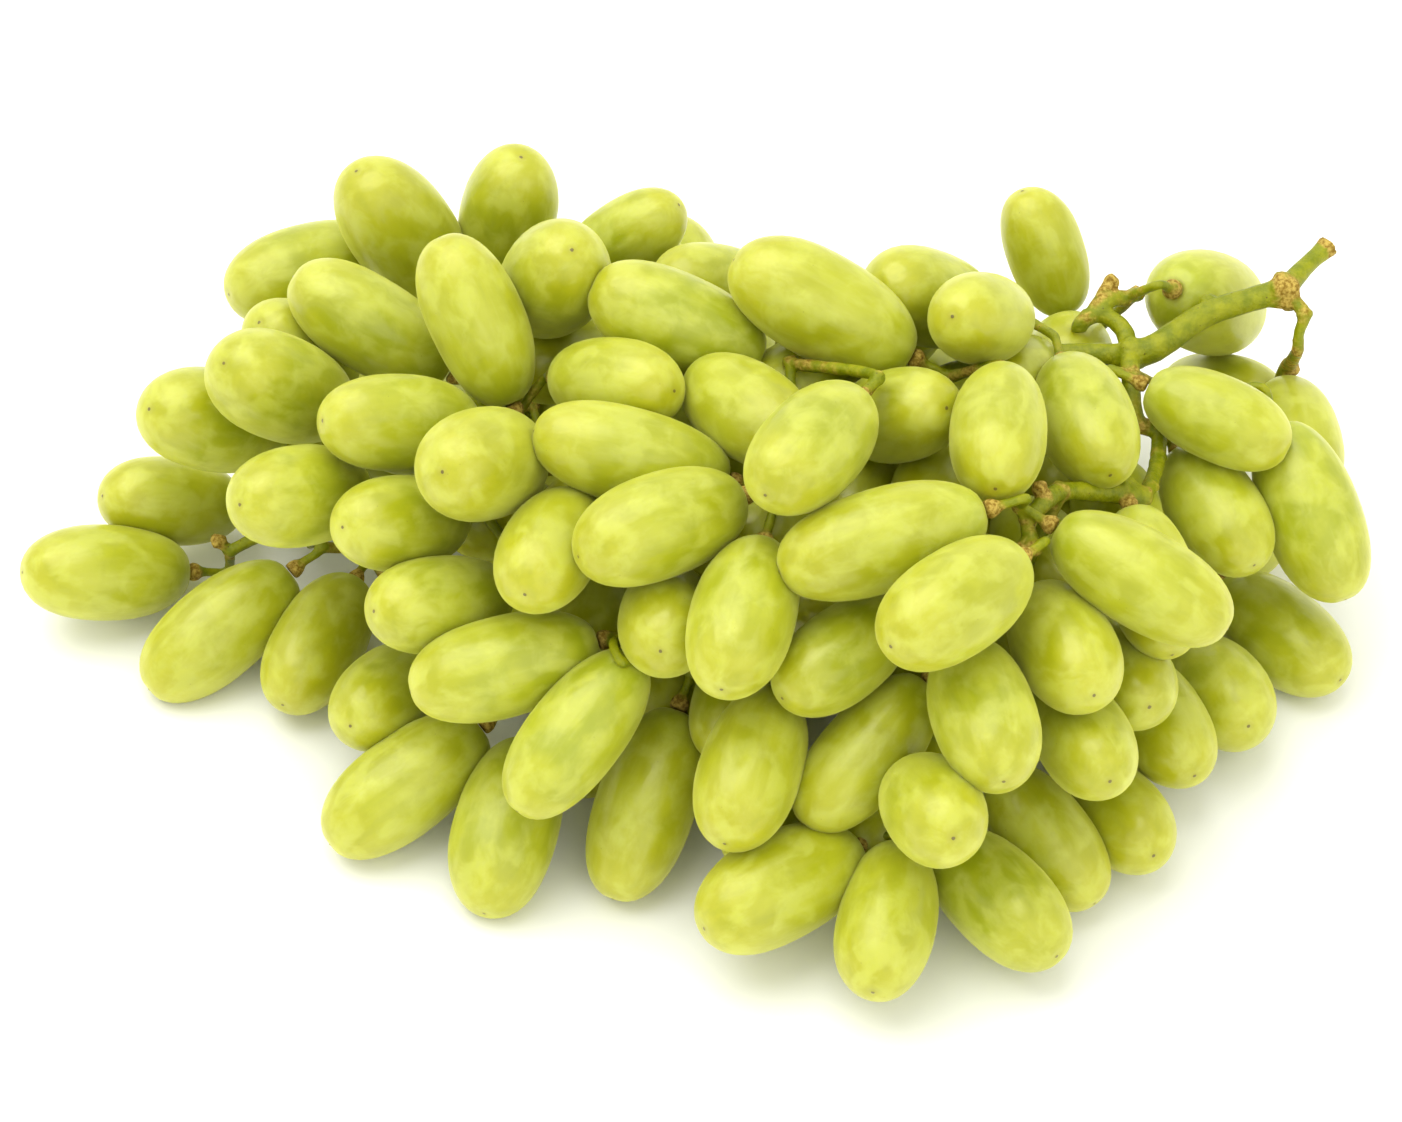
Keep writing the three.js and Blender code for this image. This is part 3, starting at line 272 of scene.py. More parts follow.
def facing_berry(name, tx, ty, sx, sy, width, lie):
    """A berry between two ends on the sheet, tipped in depth by as much as it looks short."""
    tu, tv = on_sheet(tx, ty)
    su, sv = on_sheet(sx, sy)
    u, v = (tu + su) / 2, (tv + sv) / 2
    a = hypot(tu - su, tv - sv) / 2
    half = width / SHEET_PER_MM / 2
    whole = max(a * 1.01, BERRY_LENGTH_RATIO * half)
    level = clamp((a * a - half * half) / (whole * whole - half * half), STEEPEST, 1)
    across = sqrt(level)
    deep = sqrt(1 - level) * (-1 if lie == AWAY else 1)
    du, dv = (tu - su) / (2 * a), (tv - sv) / (2 * a)
    d = unit((du * across, (dv * across) * UP[1] + deep * OUT[1], (dv * across) * UP[2] + deep * OUT[2]))
    w = mound_depth(u, v) - (INSIDE_DEPTH if lie == INSIDE else 0)
    k = 1 - w / SHEET_EYE
    b = Berry(name, d, whole * k, half * k)
    b.u, b.v, b.w, b.lie = u, v, w, lie
    b.inner = lie == INSIDE and name != LOW_BUT_OPEN
    return b


def settle(b):
    b.move_to(place(b.u, b.v, b.w))


def set_on_plane(b):
    b.w += (-SINK - b.lowest()) / OUT[2]
    settle(b)


def push_needed(back, front):
    """How much further apart in depth two berries must be to press on each other only lightly."""
    p = np.array(back.balls)[:, None, :]
    q = np.array(front.balls)[None, :, :]
    x, y, z = (q[..., k] - p[..., k] for k in range(3))
    h = y * OUT[1] + z * OUT[2]
    flat = x * x + y * y + z * z - h * h
    r = p[..., 3] + q[..., 3] - PRESS
    room = r * r - flat
    if room.max() <= 0:
        return 0
    return max(0, np.max(np.where(room > 0, np.sqrt(np.maximum(room, 0)) - h, -FAR)))


def facing_berries():
    """The facing berries, moved in depth until they rest on each other and on the plane."""
    berries = [facing_berry(*row) for row in FACING]
    for b in berries:
        settle(b)
        if b.lie == PLANE or b.lowest() < -SINK:
            for _ in range(4):
                set_on_plane(b)
        b.aim = b.w
        b.free = FREE_ON_PLANE if b.lie == PLANE else 1
    pairs = [(a, b) for a, b in combinations(berries, 2) if hypot(a.u - b.u, a.v - b.v) < a.A + b.A]
    for turn in range(ALL_ROUNDS):
        pull = PULL if turn < PULLED_ROUNDS else 0
        for b in berries:
            b.w += pull * (b.aim - b.w)
            settle(b)
        for back, front in pairs:
            if front.w - back.w > front.A + back.A + 20:
                continue
            need = push_needed(back, front)
            if need > 0:
                s = GIVE * need / (back.free + front.free)
                front.w += s * front.free
                back.w -= s * back.free
                settle(front)
                settle(back)
        for b in berries:
            if b.lowest() < -SINK:
                set_on_plane(b)
    return berries


# ---- the rachis, from the peduncle's junction to the left end
JUNCTION = at_height(1130, 354, 45)
RACHIS = [
    JUNCTION, (52, 42, 43), (24, 30, 41), (-8, 24, 38), (-38, 23, 32), (-62, 24, 24),
    at_height(254, 538, 15), at_height(230, 551, 12),
]


def inside_outline(x, y):
    inside = False
    for (xi, yi), (xj, yj) in zip(OUTLINE, OUTLINE[-1:] + OUTLINE[:-1]):
        if (yi > y) != (yj > y) and x < (xj - xi) * (y - yi) / (yj - yi) + xi:
            inside = not inside
    return inside


def to_segment(p, a, b):
    ab = sub(b, a)
    t = clamp(dot(sub(p, a), ab) / dot(ab, ab), 0, 1)
    return apart(p, add(a, mul(ab, t)))


# directions in which a ball's rim is tested on the sheet
AROUND = ((1, 0), (-1, 0), (0, 1), (0, -1), (0.7, 0.7), (-0.7, 0.7), (0.7, -0.7), (-0.7, -0.7))
MOST_BERRIES = 400
SEED = 20417
UNDER_TRIES = 900
REAR_TRIES = 1600
INNER_TRIES = 1500
SLIDE = 0.75  # one step of a berry that slides into place
RACHIS_ROOM = 2.6  # berries keep this far from the rachis


class Pile:
    """The berries placed so far, with their balls in arrays for quick contact tests."""

    def __init__(self, berries):
        self.berries = []
        self.balls = np.zeros((MOST_BERRIES, 5, 4))
        self.centres = np.zeros((MOST_BERRIES, 3))
        self.halves = np.zeros(MOST_BERRIES)
        for b in berries:
            self.append(b)
        self.seen = [(*to_sheet(b.c), b.B) for b in berries]

    def append(self, b):
        n = len(self.berries)
        self.balls[n] = b.balls
        self.centres[n] = b.c
        self.halves[n] = b.A
        self.berries.append(b)

    def press_on(self, b):
        """How deep a berry presses into the pile; NO_TOUCH when nothing is near."""
        n = len(self.berries)
        away = self.centres[:n] - b.c
        reach = self.halves[:n] + b.A
        near = (np.abs(away[:, 0]) <= reach) & (np.sqrt((away * away).sum(1)) <= reach + 3)
        if not near.any():
            return NO_TOUCH
        mine = np.array(b.balls)
        theirs = self.balls[:n][near]
        off = theirs[:, :, None, :3] - mine[None, None, :, :3]
        far = np.sqrt(off[..., 0] ** 2 + off[..., 1] ** 2 + off[..., 2] ** 2)
        return max(NO_TOUCH, (theirs[:, :, None, 3] + mine[None, None, :, 3] - far).max())

    def may_stand(self, b):
        """Whether a hidden berry is behind the facing ones, inside the outline, and off gaps and rachis."""
        for x, y, z, r in b.balls:
            sx, sy, w = to_sheet((x, y, z))
            rs = r * SHEET_PER_MM / (1 - w / SHEET_EYE)
            if not all(inside_outline(sx + dx * rs, sy + dy * rs) for dx, dy in AROUND):
                return False
            if any(hypot(sx - gx, sy - gy) < gr + rs for gx, gy, gr in GAPS):
                return False
            if any(to_segment((x, y, z), p, q) < r + RACHIS_ROOM for p, q in zip(RACHIS, RACHIS[1:])):
                return False
            for ox, oy, ow, half in self.seen:
                if w > ow - 1 and hypot(sx - ox, sy - oy) < 0.9 * rs + 0.8 * half * SHEET_PER_MM:
                    return False
        return True

    def slide(self, b, way, most):
        """Moves a berry by steps until one more would press it too far into a neighbour."""
        for _ in range(most):
            before = b.c
            b.move_to(add(b.c, mul(way, SLIDE)))
            if self.press_on(b) > PRESS:
                b.move_to(before)
                return

    def take_in(self, b, way, most, inner=False):
        """Adds a berry above the plane where there is room for it, once it has slid to a neighbour."""
        if b.lowest() < -SINK or self.press_on(b) > PRESS:
            return
        self.slide(b, way, most)
        if b.lowest() >= -SINK and self.may_stand(b):
            b.inner = inner
            self.append(b)


def rest_of_berries(pile):
    """The berries underneath, at the rear and inside, by the same seeded rule as the solids'."""
    draw = random_draw(SEED)
    mid_x, mid_y = BUNCH_MID

    def between(low, high):
        return low + (high - low) * draw()

    def make(c, d):
        half = BERRY_HALF_WIDTH * between(0.94, 1.06)
        b = Berry("hidden", d, half * BERRY_LENGTH_RATIO * between(0.95, 1.1), half)
        b.move_to(c)
        return b

    # lowest layer, lying nearly level on the plane with the tips outward
    for _ in range(UNDER_TRIES):
        t = between(0, 2 * pi)
        s = sqrt(between(0.05, 1))
        x = mid_x + (BUNCH_HALF_X - 12) * s * cos(t)
        y = mid_y + (BUNCH_HALF_Y + 2) * s * sin(t)
        h = atan2(y - mid_y, (x - mid_x) * 0.55) + between(-0.55, 0.55)
        pitch = between(-0.25, 0.2)
        d = (cos(h) * cos(pitch), sin(h) * cos(pitch), sin(pitch))
        b = make((x, y, 20), d)
        b.move_to(add(b.c, (0, 0, -SINK - b.lowest())))
        if pile.press_on(b) > PRESS:
            continue
        pile.slide(b, unit((mid_x - x, mid_y - y, 0)), 14)
        if pile.may_stand(b):
            pile.append(b)
    # rear side from the lowest layer up to the crest, tips outward
    for _ in range(REAR_TRIES):
        x = between(-0.92, 0.92)
        rise = between(0.12, 1.75)
        k = sqrt(1 - x * x)
        px = mid_x + x * BUNCH_HALF_X
        py = mid_y + (BUNCH_HALF_Y + 7) * k * cos(rise)
        pz = (BUNCH_TOP_Z + 7) * k * sin(rise)
        d0 = x * 0.9 + between(-0.45, 0.45)
        d1 = cos(rise) + between(-0.35, 0.35)
        d = unit((d0, d1, 0.75 * sin(rise) + between(-0.45, 0.3)))
        b = make(add((px, py, pz), mul(d, -13)), d)
        pile.take_in(b, unit((-x * 40, 28 - py, 30 - pz)), 20)
    # inside, behind the outer ones
    for _ in range(INNER_TRIES):
        x = between(-80, 85)
        y = between(-35, 75)
        z = between(9, 55)
        d0 = x * 0.012 + between(-0.5, 0.5)
        d1 = (y - 26) * 0.03 + between(-0.4, 0.4)
        d = unit((d0, d1, (z - 34) * 0.03 + between(-0.4, 0.4)))
        pile.take_in(make((x, y, z), d), d, 10, inner=True)


# ---- stem: rachis, seen branches, and a branching rule for the rest
# berries whose pedicels can be seen from outside
OPEN_STEMS = (
    "b15 b07 b22 b53 b59 b50 b49 b48 b57 b58 b55 b36 b37 b35 b23 b25 b26 b27 b30 b34 f09 b64 b63 b62"
).split()
# seen stretches of the stem, as points of sheet x, sheet y and height
BRANCHES = [
    [(1130, 354, 45), (1122, 328, 46), (1100, 314, 47), (1087, 318, 47), (1079, 325, 46)],
    [(1100, 314, 47), (1109, 300, 48), (1125, 298, 47), (1136, 294, 45)],
    [
        (1130, 354, 45), (1131, 376, 46), (1138, 424, 42), (1156, 430, 41), (1158, 456, 41), (1150, 486, 43),
        (1146, 496, 44),
    ],
    [(1084, 479, 50), (1060, 492, 54), (1046, 501, 56), (1028, 522, 56), (1033, 548, 55)],
]
PEDUNCLE = [
    (1130, 354, 45), (1150, 350, 46), (1205, 315, 49), (1256, 298, 51), (1283, 291, 52), (1306, 266, 53),
    (1328, 246, 54),
]
PEDUNCLE_NODE = 4  # the point of the peduncle that carries the side shoot
SIDE_SHOOT = [(1283, 291, 52), (1304, 314, 50), (1299, 333, 47), (1298, 350, 44)]
SHOOT_COLLAR = (1289, 368, 32)
STUBS = [(1087, 318, 47, 1111, 281, 50), (230, 551, 12, 218, 541, 14), (1046, 501, 56, 1040, 489, 58)]


LEAST_STEP = 1e-4  # a smaller step between two points means that they are one
CURVE_PARTS = 200
OUT_ROUNDS = 14
STEM_ROOM = 0.45  # a stem point is moved to about this far from a berry
KNEE_EXTRA = 1.5  # growing from another pedicel counts as this much further away


def smooth_point(points, t):
    """A point of the centripetal Catmull-Rom curve through the points, t from 0 to 1."""
    last = len(points) - 1
    f = last * t
    i = floor(f)
    f -= i
    if f == 0 and i == last:
        i, f = last - 1, 1
    p1, p2 = points[i], points[i + 1]
    p0 = points[i - 1] if i > 0 else add(sub(points[0], points[1]), points[0])
    p3 = points[i + 2] if i + 2 <= last else add(sub(points[last], points[last - 1]), points[last])
    steps = [dot(sub(b, a), sub(b, a)) ** 0.25 for a, b in ((p0, p1), (p1, p2), (p2, p3))]
    if steps[1] < LEAST_STEP:
        steps[1] = 1.0
    s0, s1, s2 = (steps[1] if s < LEAST_STEP else s for s in steps)
    out = []
    for x0, x1, x2, x3 in zip(p0, p1, p2, p3):
        t1 = ((x1 - x0) / s0 - (x2 - x0) / (s0 + s1) + (x2 - x1) / s1) * s1
        t2 = ((x2 - x1) / s1 - (x3 - x1) / (s1 + s2) + (x3 - x2) / s2) * s1
        c2 = -3 * x1 + 3 * x2 - 2 * t1 - t2
        c3 = 2 * x1 - 2 * x2 + t1 + t2
        out.append(x1 + t1 * f + c2 * f * f + c3 * f * f * f)
    return tuple(out)


def along_curve(points, spacing):
    """Points spaced evenly along the smooth curve through the given ones."""
    stops = [i / CURVE_PARTS for i in range(CURVE_PARTS + 1)]
    samples = [smooth_point(points, t) for t in stops]
    run = [0.0]
    for a, b in zip(samples, samples[1:]):
        run.append(run[-1] + apart(b, a))
    count = max(1, round(run[-1] / spacing))
    places = [k / count * run[-1] for k in range(count + 1)]
    return [smooth_point(points, float(np.interp(at, run, stops))) for at in places]


def clear_of(p, r, berries):
    """Moves a stem point out of the berries around it."""
    q = p
    for _ in range(OUT_ROUNDS):
        moved = False
        for b in berries:
            if apart(q, b.c) > b.A + r + 2:
                continue
            for x, y, z, ball in b.balls:
                away = sub(q, (x, y, z))
                far = length(away) or 1
                lack = ball * BALL_MARGIN + r + STEM_ROOM - far
                if lack > 0:
                    q = add(q, mul(away, lack / far * 0.8))
                    moved = True
        if not moved:
            break
    return (q[0], q[1], r + LIFT) if q[2] < r + LIFT else q


def branch_radius(load):
    return clamp(0.72 + 0.13 * sqrt(load), 0.8, 1.5)


def runs_clear(p, q, r, berries):
    for b in berries:
        if to_segment(b.c, p, q) > b.A + r + 1:
            continue
        for x, y, z, ball in b.balls:
            if to_segment((x, y, z), p, q) < ball * BALL_MARGIN + r + WAY_CLEAR:
                return False
    return True


ROUTE_STEPS = 7
ROUTE_ROUNDS = 10
SHORTEST_STEP = 1.2
OFF_THE_TREE = -2


def route(p, q, r, berries):
    """A bent run between two stem points that keeps out of the berries."""
    if runs_clear(p, q, r, berries):
        return [p, q]
    n = ROUTE_STEPS
    pts = [add(mul(p, 1 - i / n), mul(q, i / n)) for i in range(n + 1)]
    for _ in range(ROUTE_ROUNDS):
        for i in range(1, n):
            pts[i] = clear_of(pts[i], r, berries)
        for i in range(1, n):
            pts[i] = add(mul(pts[i], 0.6), mul(add(pts[i - 1], pts[i + 1]), 0.2))
    for i in range(1, n):
        pts[i] = clear_of(pts[i], r, berries)
    kept = [p]
    i = 0
    while i < n:
        j = n
        while j > i + 1 and not runs_clear(pts[i], pts[j], r, berries):
            j -= 1
        kept.append(pts[j])
        i = j
    last = len(kept) - 1
    return [x for i, x in enumerate(kept) if i in (0, last) or apart(x, kept[i - 1]) > SHORTEST_STEP]


@dataclass
class StemNode:
    """A point of the stem: where it is, what it grows from, and the berry at its end if it has one."""

    p: tuple
    up: int
    kind: str
    berry: Berry = None
    end: tuple = None
    turn: int = 0
    kids: int = 0
    load: int = 0
    start: tuple = None
    way: list = None
    chain: list = None


def add_branch(nodes, path):
    """Adds a branch that can be seen, from the nearest point of the stem so far."""
    start = at_height(*path[0])
    up = min(range(len(nodes)), key=lambda i: apart(nodes[i].p, start))
    chain = [nodes[up].p]
    for q in path[1:]:
        nodes.append(StemNode(at_height(*q), up, "branch"))
        up = len(nodes) - 1
        chain.append(nodes[up].p)
    nodes[up].chain = chain


def add_pedicels(nodes, berries):
    """Joins the berries, apart from the inner ones, nearest first to the nearest point of the stem so far."""
    left = []
    for b in berries:
        if not b.inner:
            end = sub(b.c, mul(b.d, b.A + CLEAR))
            left.append((b, end, clear_of(sub(end, mul(b.d, PEDICEL_LENGTH)), BRANCH_RADIUS, berries)))
    while left:
        best = FAR
        for k in left:
            for i, n in enumerate(nodes):
                if n.kids > MOST_SHOOTS or n.kind == "shoot" and k[0].name != SHOOT_BERRY:
                    continue
                far = apart(n.p, k[2]) + (KNEE_EXTRA if n.kind == "knee" else 0)
                if far < best:
                    best = far
                    pick = (k, i)
        (b, end, knee), up = pick
        left.remove(pick[0])
        nodes.append(StemNode(knee, up, "knee", b, end, nodes[up].kids))
        nodes[up].kids += 1


def run_pedicel(n, nodes, berries):
    """The way of a pedicel, leaving its branch a little behind the last shoot."""
    on = nodes[n.up]
    run = on.way or ([nodes[on.up].p, on.p] if on.up >= 0 else [on.p])
    left = n.turn * SHOOT_SPACING
    i = len(run) - 1
    n.start = run[i]
    while i > 0 and left > 0:
        step = apart(run[i - 1], run[i])
        t = min(1, left / step)
        n.start = add(run[i], mul(sub(run[i - 1], run[i]), min(t, 1 if i > 1 else 0.85)))
        left -= step
        i -= 1
    r = branch_radius(n.load)
    others = [b for b in berries if b is not n.berry]
    if n.berry.name not in OPEN_STEMS and not n.kids and runs_clear(n.start, n.end, r, others):
        n.way = [n.start]
    elif apart(n.p, n.start) > 1.5:
        n.way = route(n.start, n.p, r, berries)
    else:
        n.way = [n.start, n.p]


def grow_stem(berries):
    """The stem as a list of points that each name the one they grow from, with every pedicel's way."""
    nodes = [StemNode(p, i - 1, "rachis") for i, p in enumerate(along_curve(RACHIS, RACHIS_STEP))]
    for path in BRANCHES:
        add_branch(nodes, path)
    nodes.append(StemNode(at_height(*SIDE_SHOOT[3]), OFF_THE_TREE, "shoot"))
    add_pedicels(nodes, berries)
    knees = [n for n in nodes if n.kind == "knee"]
    for on in knees:
        on.load += 1
        while on.up >= 0:
            on = nodes[on.up]
            on.load += 1
    for n in knees:
        run_pedicel(n, nodes, berries)
    return nodes


# ---- from the layout to Blender
def metres(p):
    return mul(add(p, MOVE_TO_FRAME), MM)


def into_scene(name, data):
    made = bpy.data.objects.new(name, data)
    bpy.context.scene.collection.objects.link(made)
    return made


def new_object(name, vertices, faces, attributes=()):
    """A smooth-shaded mesh object; each attribute is a name and one number, or three, for each vertex."""
    mesh = bpy.data.meshes.new(name)
    mesh.from_pydata([tuple(v) for v in vertices], [], faces)
    mesh.shade_smooth()
    for label, values in attributes:
        values = np.asarray(values, dtype=np.float32)
        kind, field = ("FLOAT_VECTOR", "vector") if values.ndim == 2 else ("FLOAT", "value")
        mesh.attributes.new(label, kind, "POINT").data.foreach_set(field, values.ravel())
    return into_scene(name, mesh)


# ---- berries
SKIN_SIDES = 40
POLE_RINGS = (0.03, 0.055, 0.085, 0.125, 0.18)  # polar angles of the fine rings around both ends
BODY_RINGS = 23
SCAR_RISE = 0.22
SCAR_RADIUS = 0.32
TIP_DIMPLE = 0.22
TIP_DIMPLE_RADIUS = 1.2
STEM_DIMPLE = 0.7
STEM_DIMPLE_RADIUS = 2.1
END_ANGLE = 0.25  # polar angle where the body rings begin
OVAL = 0.014  # shares of the radius that make no two berries alike
LOBES = 0.009
WAVE = 0.008
BEND = 0.035  # share of the half width by which a berry bends
OTHER_END = 20  # radius told for the half of a berry that an end is not on
PATTERN_SHIFT = 90
ON_SKIN = (0.93, 1.1)  # a corner between these levels lies on the berry's surface
SKIN_LABELS = ("skin_place", "along", "tip_radius", "stem_radius", "tone")
BERRY_SEED = 7351
STEM_SEED = 9127


def ring_angles():
    """Polar angles of a berry's rings, with the two poles."""
    body = np.linspace(END_ANGLE, pi - END_ANGLE, BODY_RINGS)
    ends = np.array(POLE_RINGS)
    return np.concatenate([[0], ends, body, pi - ends[::-1], [pi]])


def ball_faces(rings, sides, first=0):
    """Faces of a ball: a fan at each pole and quads between the rings."""
    faces = []
    for s in range(sides):
        n = (s + 1) % sides
        faces.append((first, first + 1 + n, first + 1 + s))
        for k in range(rings - 1):
            a = first + 1 + k * sides
            faces.append((a + s, a + n, a + sides + n, a + sides + s))
        a = first + 1 + (rings - 1) * sides
        faces.append((a + s, a + n, first + 1 + rings * sides))
    return faces


SKIN_FACES = ball_faces(len(ring_angles()) - 2, SKIN_SIDES)


def berry_skin(b, draw):
    """One berry's vertices in metres, and for each its place in the pattern, how far it is along, and its
    distance from the tip's and from the stem end's axis."""
    t = ring_angles()
    c = -np.cos(t)
    e = 2 / BERRY_ROUND
    y = b.A * np.sign(c) * np.abs(c) ** e
    r = b.B * np.abs(np.sin(t)) ** e * (1 + BERRY_TAPER * c)
    r[0] = r[-1] = 0
    scar = SCAR_RISE * np.exp(-(r / SCAR_RADIUS) ** 2)
    y[c > 0] += (scar - TIP_DIMPLE * np.exp(-(r / TIP_DIMPLE_RADIUS) ** 2))[c > 0]
    y[c < 0] += (STEM_DIMPLE * np.exp(-(r / STEM_DIMPLE_RADIUS) ** 2))[c < 0]
    turn = 2 * pi * np.arange(SKIN_SIDES) / SKIN_SIDES
    turns = np.concatenate([[0], np.tile(turn, len(t) - 2), [0]])
    spread = np.concatenate([[0], np.repeat(np.arange(1, len(t) - 1), SKIN_SIDES), [len(t) - 1]])
    radius = r[spread]
    along = c[spread]
    oval, lobes, wave = (draw() * 2 * pi for _ in range(3))
    lump = 1 + OVAL * np.cos(2 * (turns - oval)) + LOBES * np.cos(3 * (turns - lobes) + 2 * along)
    lump += WAVE * np.cos(5 * along + wave) * np.cos(turns - lobes)
    radius = radius * lump
    bend = BEND * b.B * (along * along - 0.4)
    x = radius * np.cos(turns) + bend * cos(oval)
    z = radius * np.sin(turns) + bend * sin(oval)
    axis = Vector(b.d)
    side = axis.orthogonal().normalized()
    other = axis.cross(side)
    frame_of = np.array([side, axis, other])
    local = np.stack([x, y[spread], z], axis=1)
    points = local @ frame_of + np.array(b.c) + np.array(MOVE_TO_FRAME)
    points[:, 2] = np.maximum(points[:, 2], 0)
    offset = np.array([draw(), draw(), draw()]) * PATTERN_SHIFT
    tip_radius = np.where(along > 0, radius, OTHER_END)
    stem_radius = np.where(along < 0, radius, OTHER_END)
    return points * MM, local + offset, along, tip_radius, stem_radius


def corners_of(mesh):
    flat = np.empty(len(mesh.vertices) * 3, dtype=np.float32)
    mesh.vertices.foreach_get("co", flat)
    return flat.reshape(-1, 3)


def home_nodes(berries):
    """Each berry's CAD node, the one with most corners on its surface, and each node's strongest berry."""
    names = [n for n in sorted(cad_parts) if n != "stem"]
    corners = {n: corners_of(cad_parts[n].data) / MM - np.array(MOVE_TO_FRAME) for n in names}
    homes = []
    held = {n: (0, 0) for n in names}
    for i, b in enumerate(berries):
        found = []
        for n in names:
            off = corners[n] - np.array(b.c)
            up = off @ np.array(b.d)
            out = np.sqrt(np.maximum((off * off).sum(1) - up * up, 0))
            level = (np.abs(up / b.A) ** BERRY_ROUND + (out / b.B) ** BERRY_ROUND) ** (1 / BERRY_ROUND)
            found.append(int(((level > ON_SKIN[0]) & (level < ON_SKIN[1])).sum()))
            held[n] = max(held[n], (found[-1], i))
        homes.append(names[int(np.argmax(found))])
    return homes, {n: i for n, (_, i) in held.items()}


def make_berries(berries):
    """One piece for each CAD node of berries."""
    draw = random_draw(BERRY_SEED)
    homes, strongest = home_nodes(berries)
    stands_for = {n: [n] for n in set(homes)}
    for n, i in strongest.items():  # a node cut from a berry that is at home in another node
        if n not in stands_for:
            stands_for[homes[i]].append(n)
    skins = [berry_skin(b, draw) for b in berries]
    tones = [draw() for _ in berries]
    pieces = []
    for n in sorted(stands_for):
        members = [i for i, home in enumerate(homes) if home == n]
        size = len(skins[0][0])
        faces = [tuple(v + k * size for v in f) for k in range(len(members)) for f in SKIN_FACES]
        points, *values = (np.concatenate([skins[i][k] for i in members]) for k in range(5))
        values.append(np.repeat([tones[i] for i in members], size))
        piece = new_object(n.replace("grapes", "berries"), points, faces, zip(SKIN_LABELS, values))
        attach(piece, "root")
        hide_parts(*stands_for[n])
        pieces.append(piece)
    return pieces


# ---- stem
TUBE_SIDES = 12
KNOB_RINGS = 7  # bands of a swelling from pole to pole
TUBE_STEP = 0.9
STEM_VOXEL = 0.4
STEM_SHARE = 0.6  # share of the remeshed faces that is kept
CORK_MARKS = 4  # marks that share in how corky a place is
CORK_BLUR = 0.0003
CUT_WOOD = 4  # the mark of a cut face's core, far above the 1 of dry skin


def ring(side, other):
    """Directions around a tube's axis."""
    turns = [2 * pi * s / TUBE_SIDES for s in range(TUBE_SIDES)]
    return [side * cos(turn) + other * sin(turn) for turn in turns]


class Stems:
    """Collects tubes and swellings, with what is known about the colour at each place."""

    def __init__(self):
        self.vertices = []
        self.faces = []
        self.marks = []  # a place and how corky it is there

    def tube(self, points, radii, cork, bumps=0.0, draw=None):
        """A round tube along a smooth way; radii and cork are given at the points."""
        gaps = [apart(q, p) for p, q in zip(points, points[1:])]
        count = max(3, ceil(sum(gaps) / TUBE_STEP))
        stops = np.concatenate([[0], np.cumsum(gaps)]) / sum(gaps)
        at = np.linspace(0, 1, count + 1)
        even = np.interp(at, stops, np.linspace(0, 1, len(points)))
        if len(points) > 2:
            centres = [smooth_point(points, min(1, float(t))) for t in even]
        else:
            centres = [add(mul(points[0], 1 - float(t)), mul(points[1], float(t))) for t in at]
        wide = np.interp(at, stops, radii)
        corky = np.interp(at, stops, cork)
        first = len(self.vertices)
        side = Vector(sub(centres[1], centres[0])).orthogonal().normalized()
        for k, p in enumerate(centres):
            ahead = Vector(sub(centres[min(k + 1, count)], centres[max(k - 1, 0)])).normalized()
            side = (side - ahead * side.dot(ahead)).normalized()
            other = ahead.cross(side)
            swell = 1 + (bumps * (draw() - 0.5) if draw else 0)
            self.marks.append((p, float(corky[k])))
            for out in ring(side, other):
                self.vertices.append(add(p, out * float(wide[k]) * swell))
        for k in range(count):
            a = first + k * TUBE_SIDES
            for s in range(TUBE_SIDES):
                n = (s + 1) % TUBE_SIDES
                self.faces.append((a + s, a + n, a + TUBE_SIDES + n, a + TUBE_SIDES + s))
        self.faces.append(tuple(range(first + TUBE_SIDES - 1, first - 1, -1)))
        last = first + count * TUBE_SIDES
        self.faces.append(tuple(range(last, last + TUBE_SIDES)))

    def cut_end(self, p, end, r):
        """A slightly flared end at the end of a tube from p: dry skin around a pale core."""
        back = unit(sub(p, end))
        way = [add(end, mul(back, 2.4)), add(end, back), end]
        self.tube(way, [r, r * 1.05, r * 1.25], [0.1, 0.9, 1])
        side = Vector(back).orthogonal().normalized()
        other = Vector(back).cross(side)
        for out in ring(side, other):
            self.marks.append((add(end, out * r * 1.2), 1))
        self.marks.append((end, CUT_WOOD))

    def knob(self, p, r, cork, draw):
        """A lumpy swelling."""
        first = len(self.vertices)
        phase = [draw() * 2 * pi for _ in range(3)]
        rings, sides = KNOB_RINGS, TUBE_SIDES
        self.marks.append((p, cork))
        for k in range(rings + 1):
            t = pi * k / rings
            for s in range(sides if 0 < k < rings else 1):
                turn = 2 * pi * s / sides
                lump = 1 + 0.14 * sin(3 * turn + phase[0]) * sin(t)
                lump += 0.12 * sin(4 * t + phase[1])
                lump += 0.08 * sin(5 * turn + 3 * t + phase[2]) * sin(t)
                out = (sin(t) * cos(turn), sin(t) * sin(turn), cos(t))
                self.vertices.append(add(p, mul(out, r * lump)))
        # these rings run the other way round, so the faces are turned over
        self.faces += [(f[0], *f[:0:-1]) for f in ball_faces(rings - 1, sides, first)]


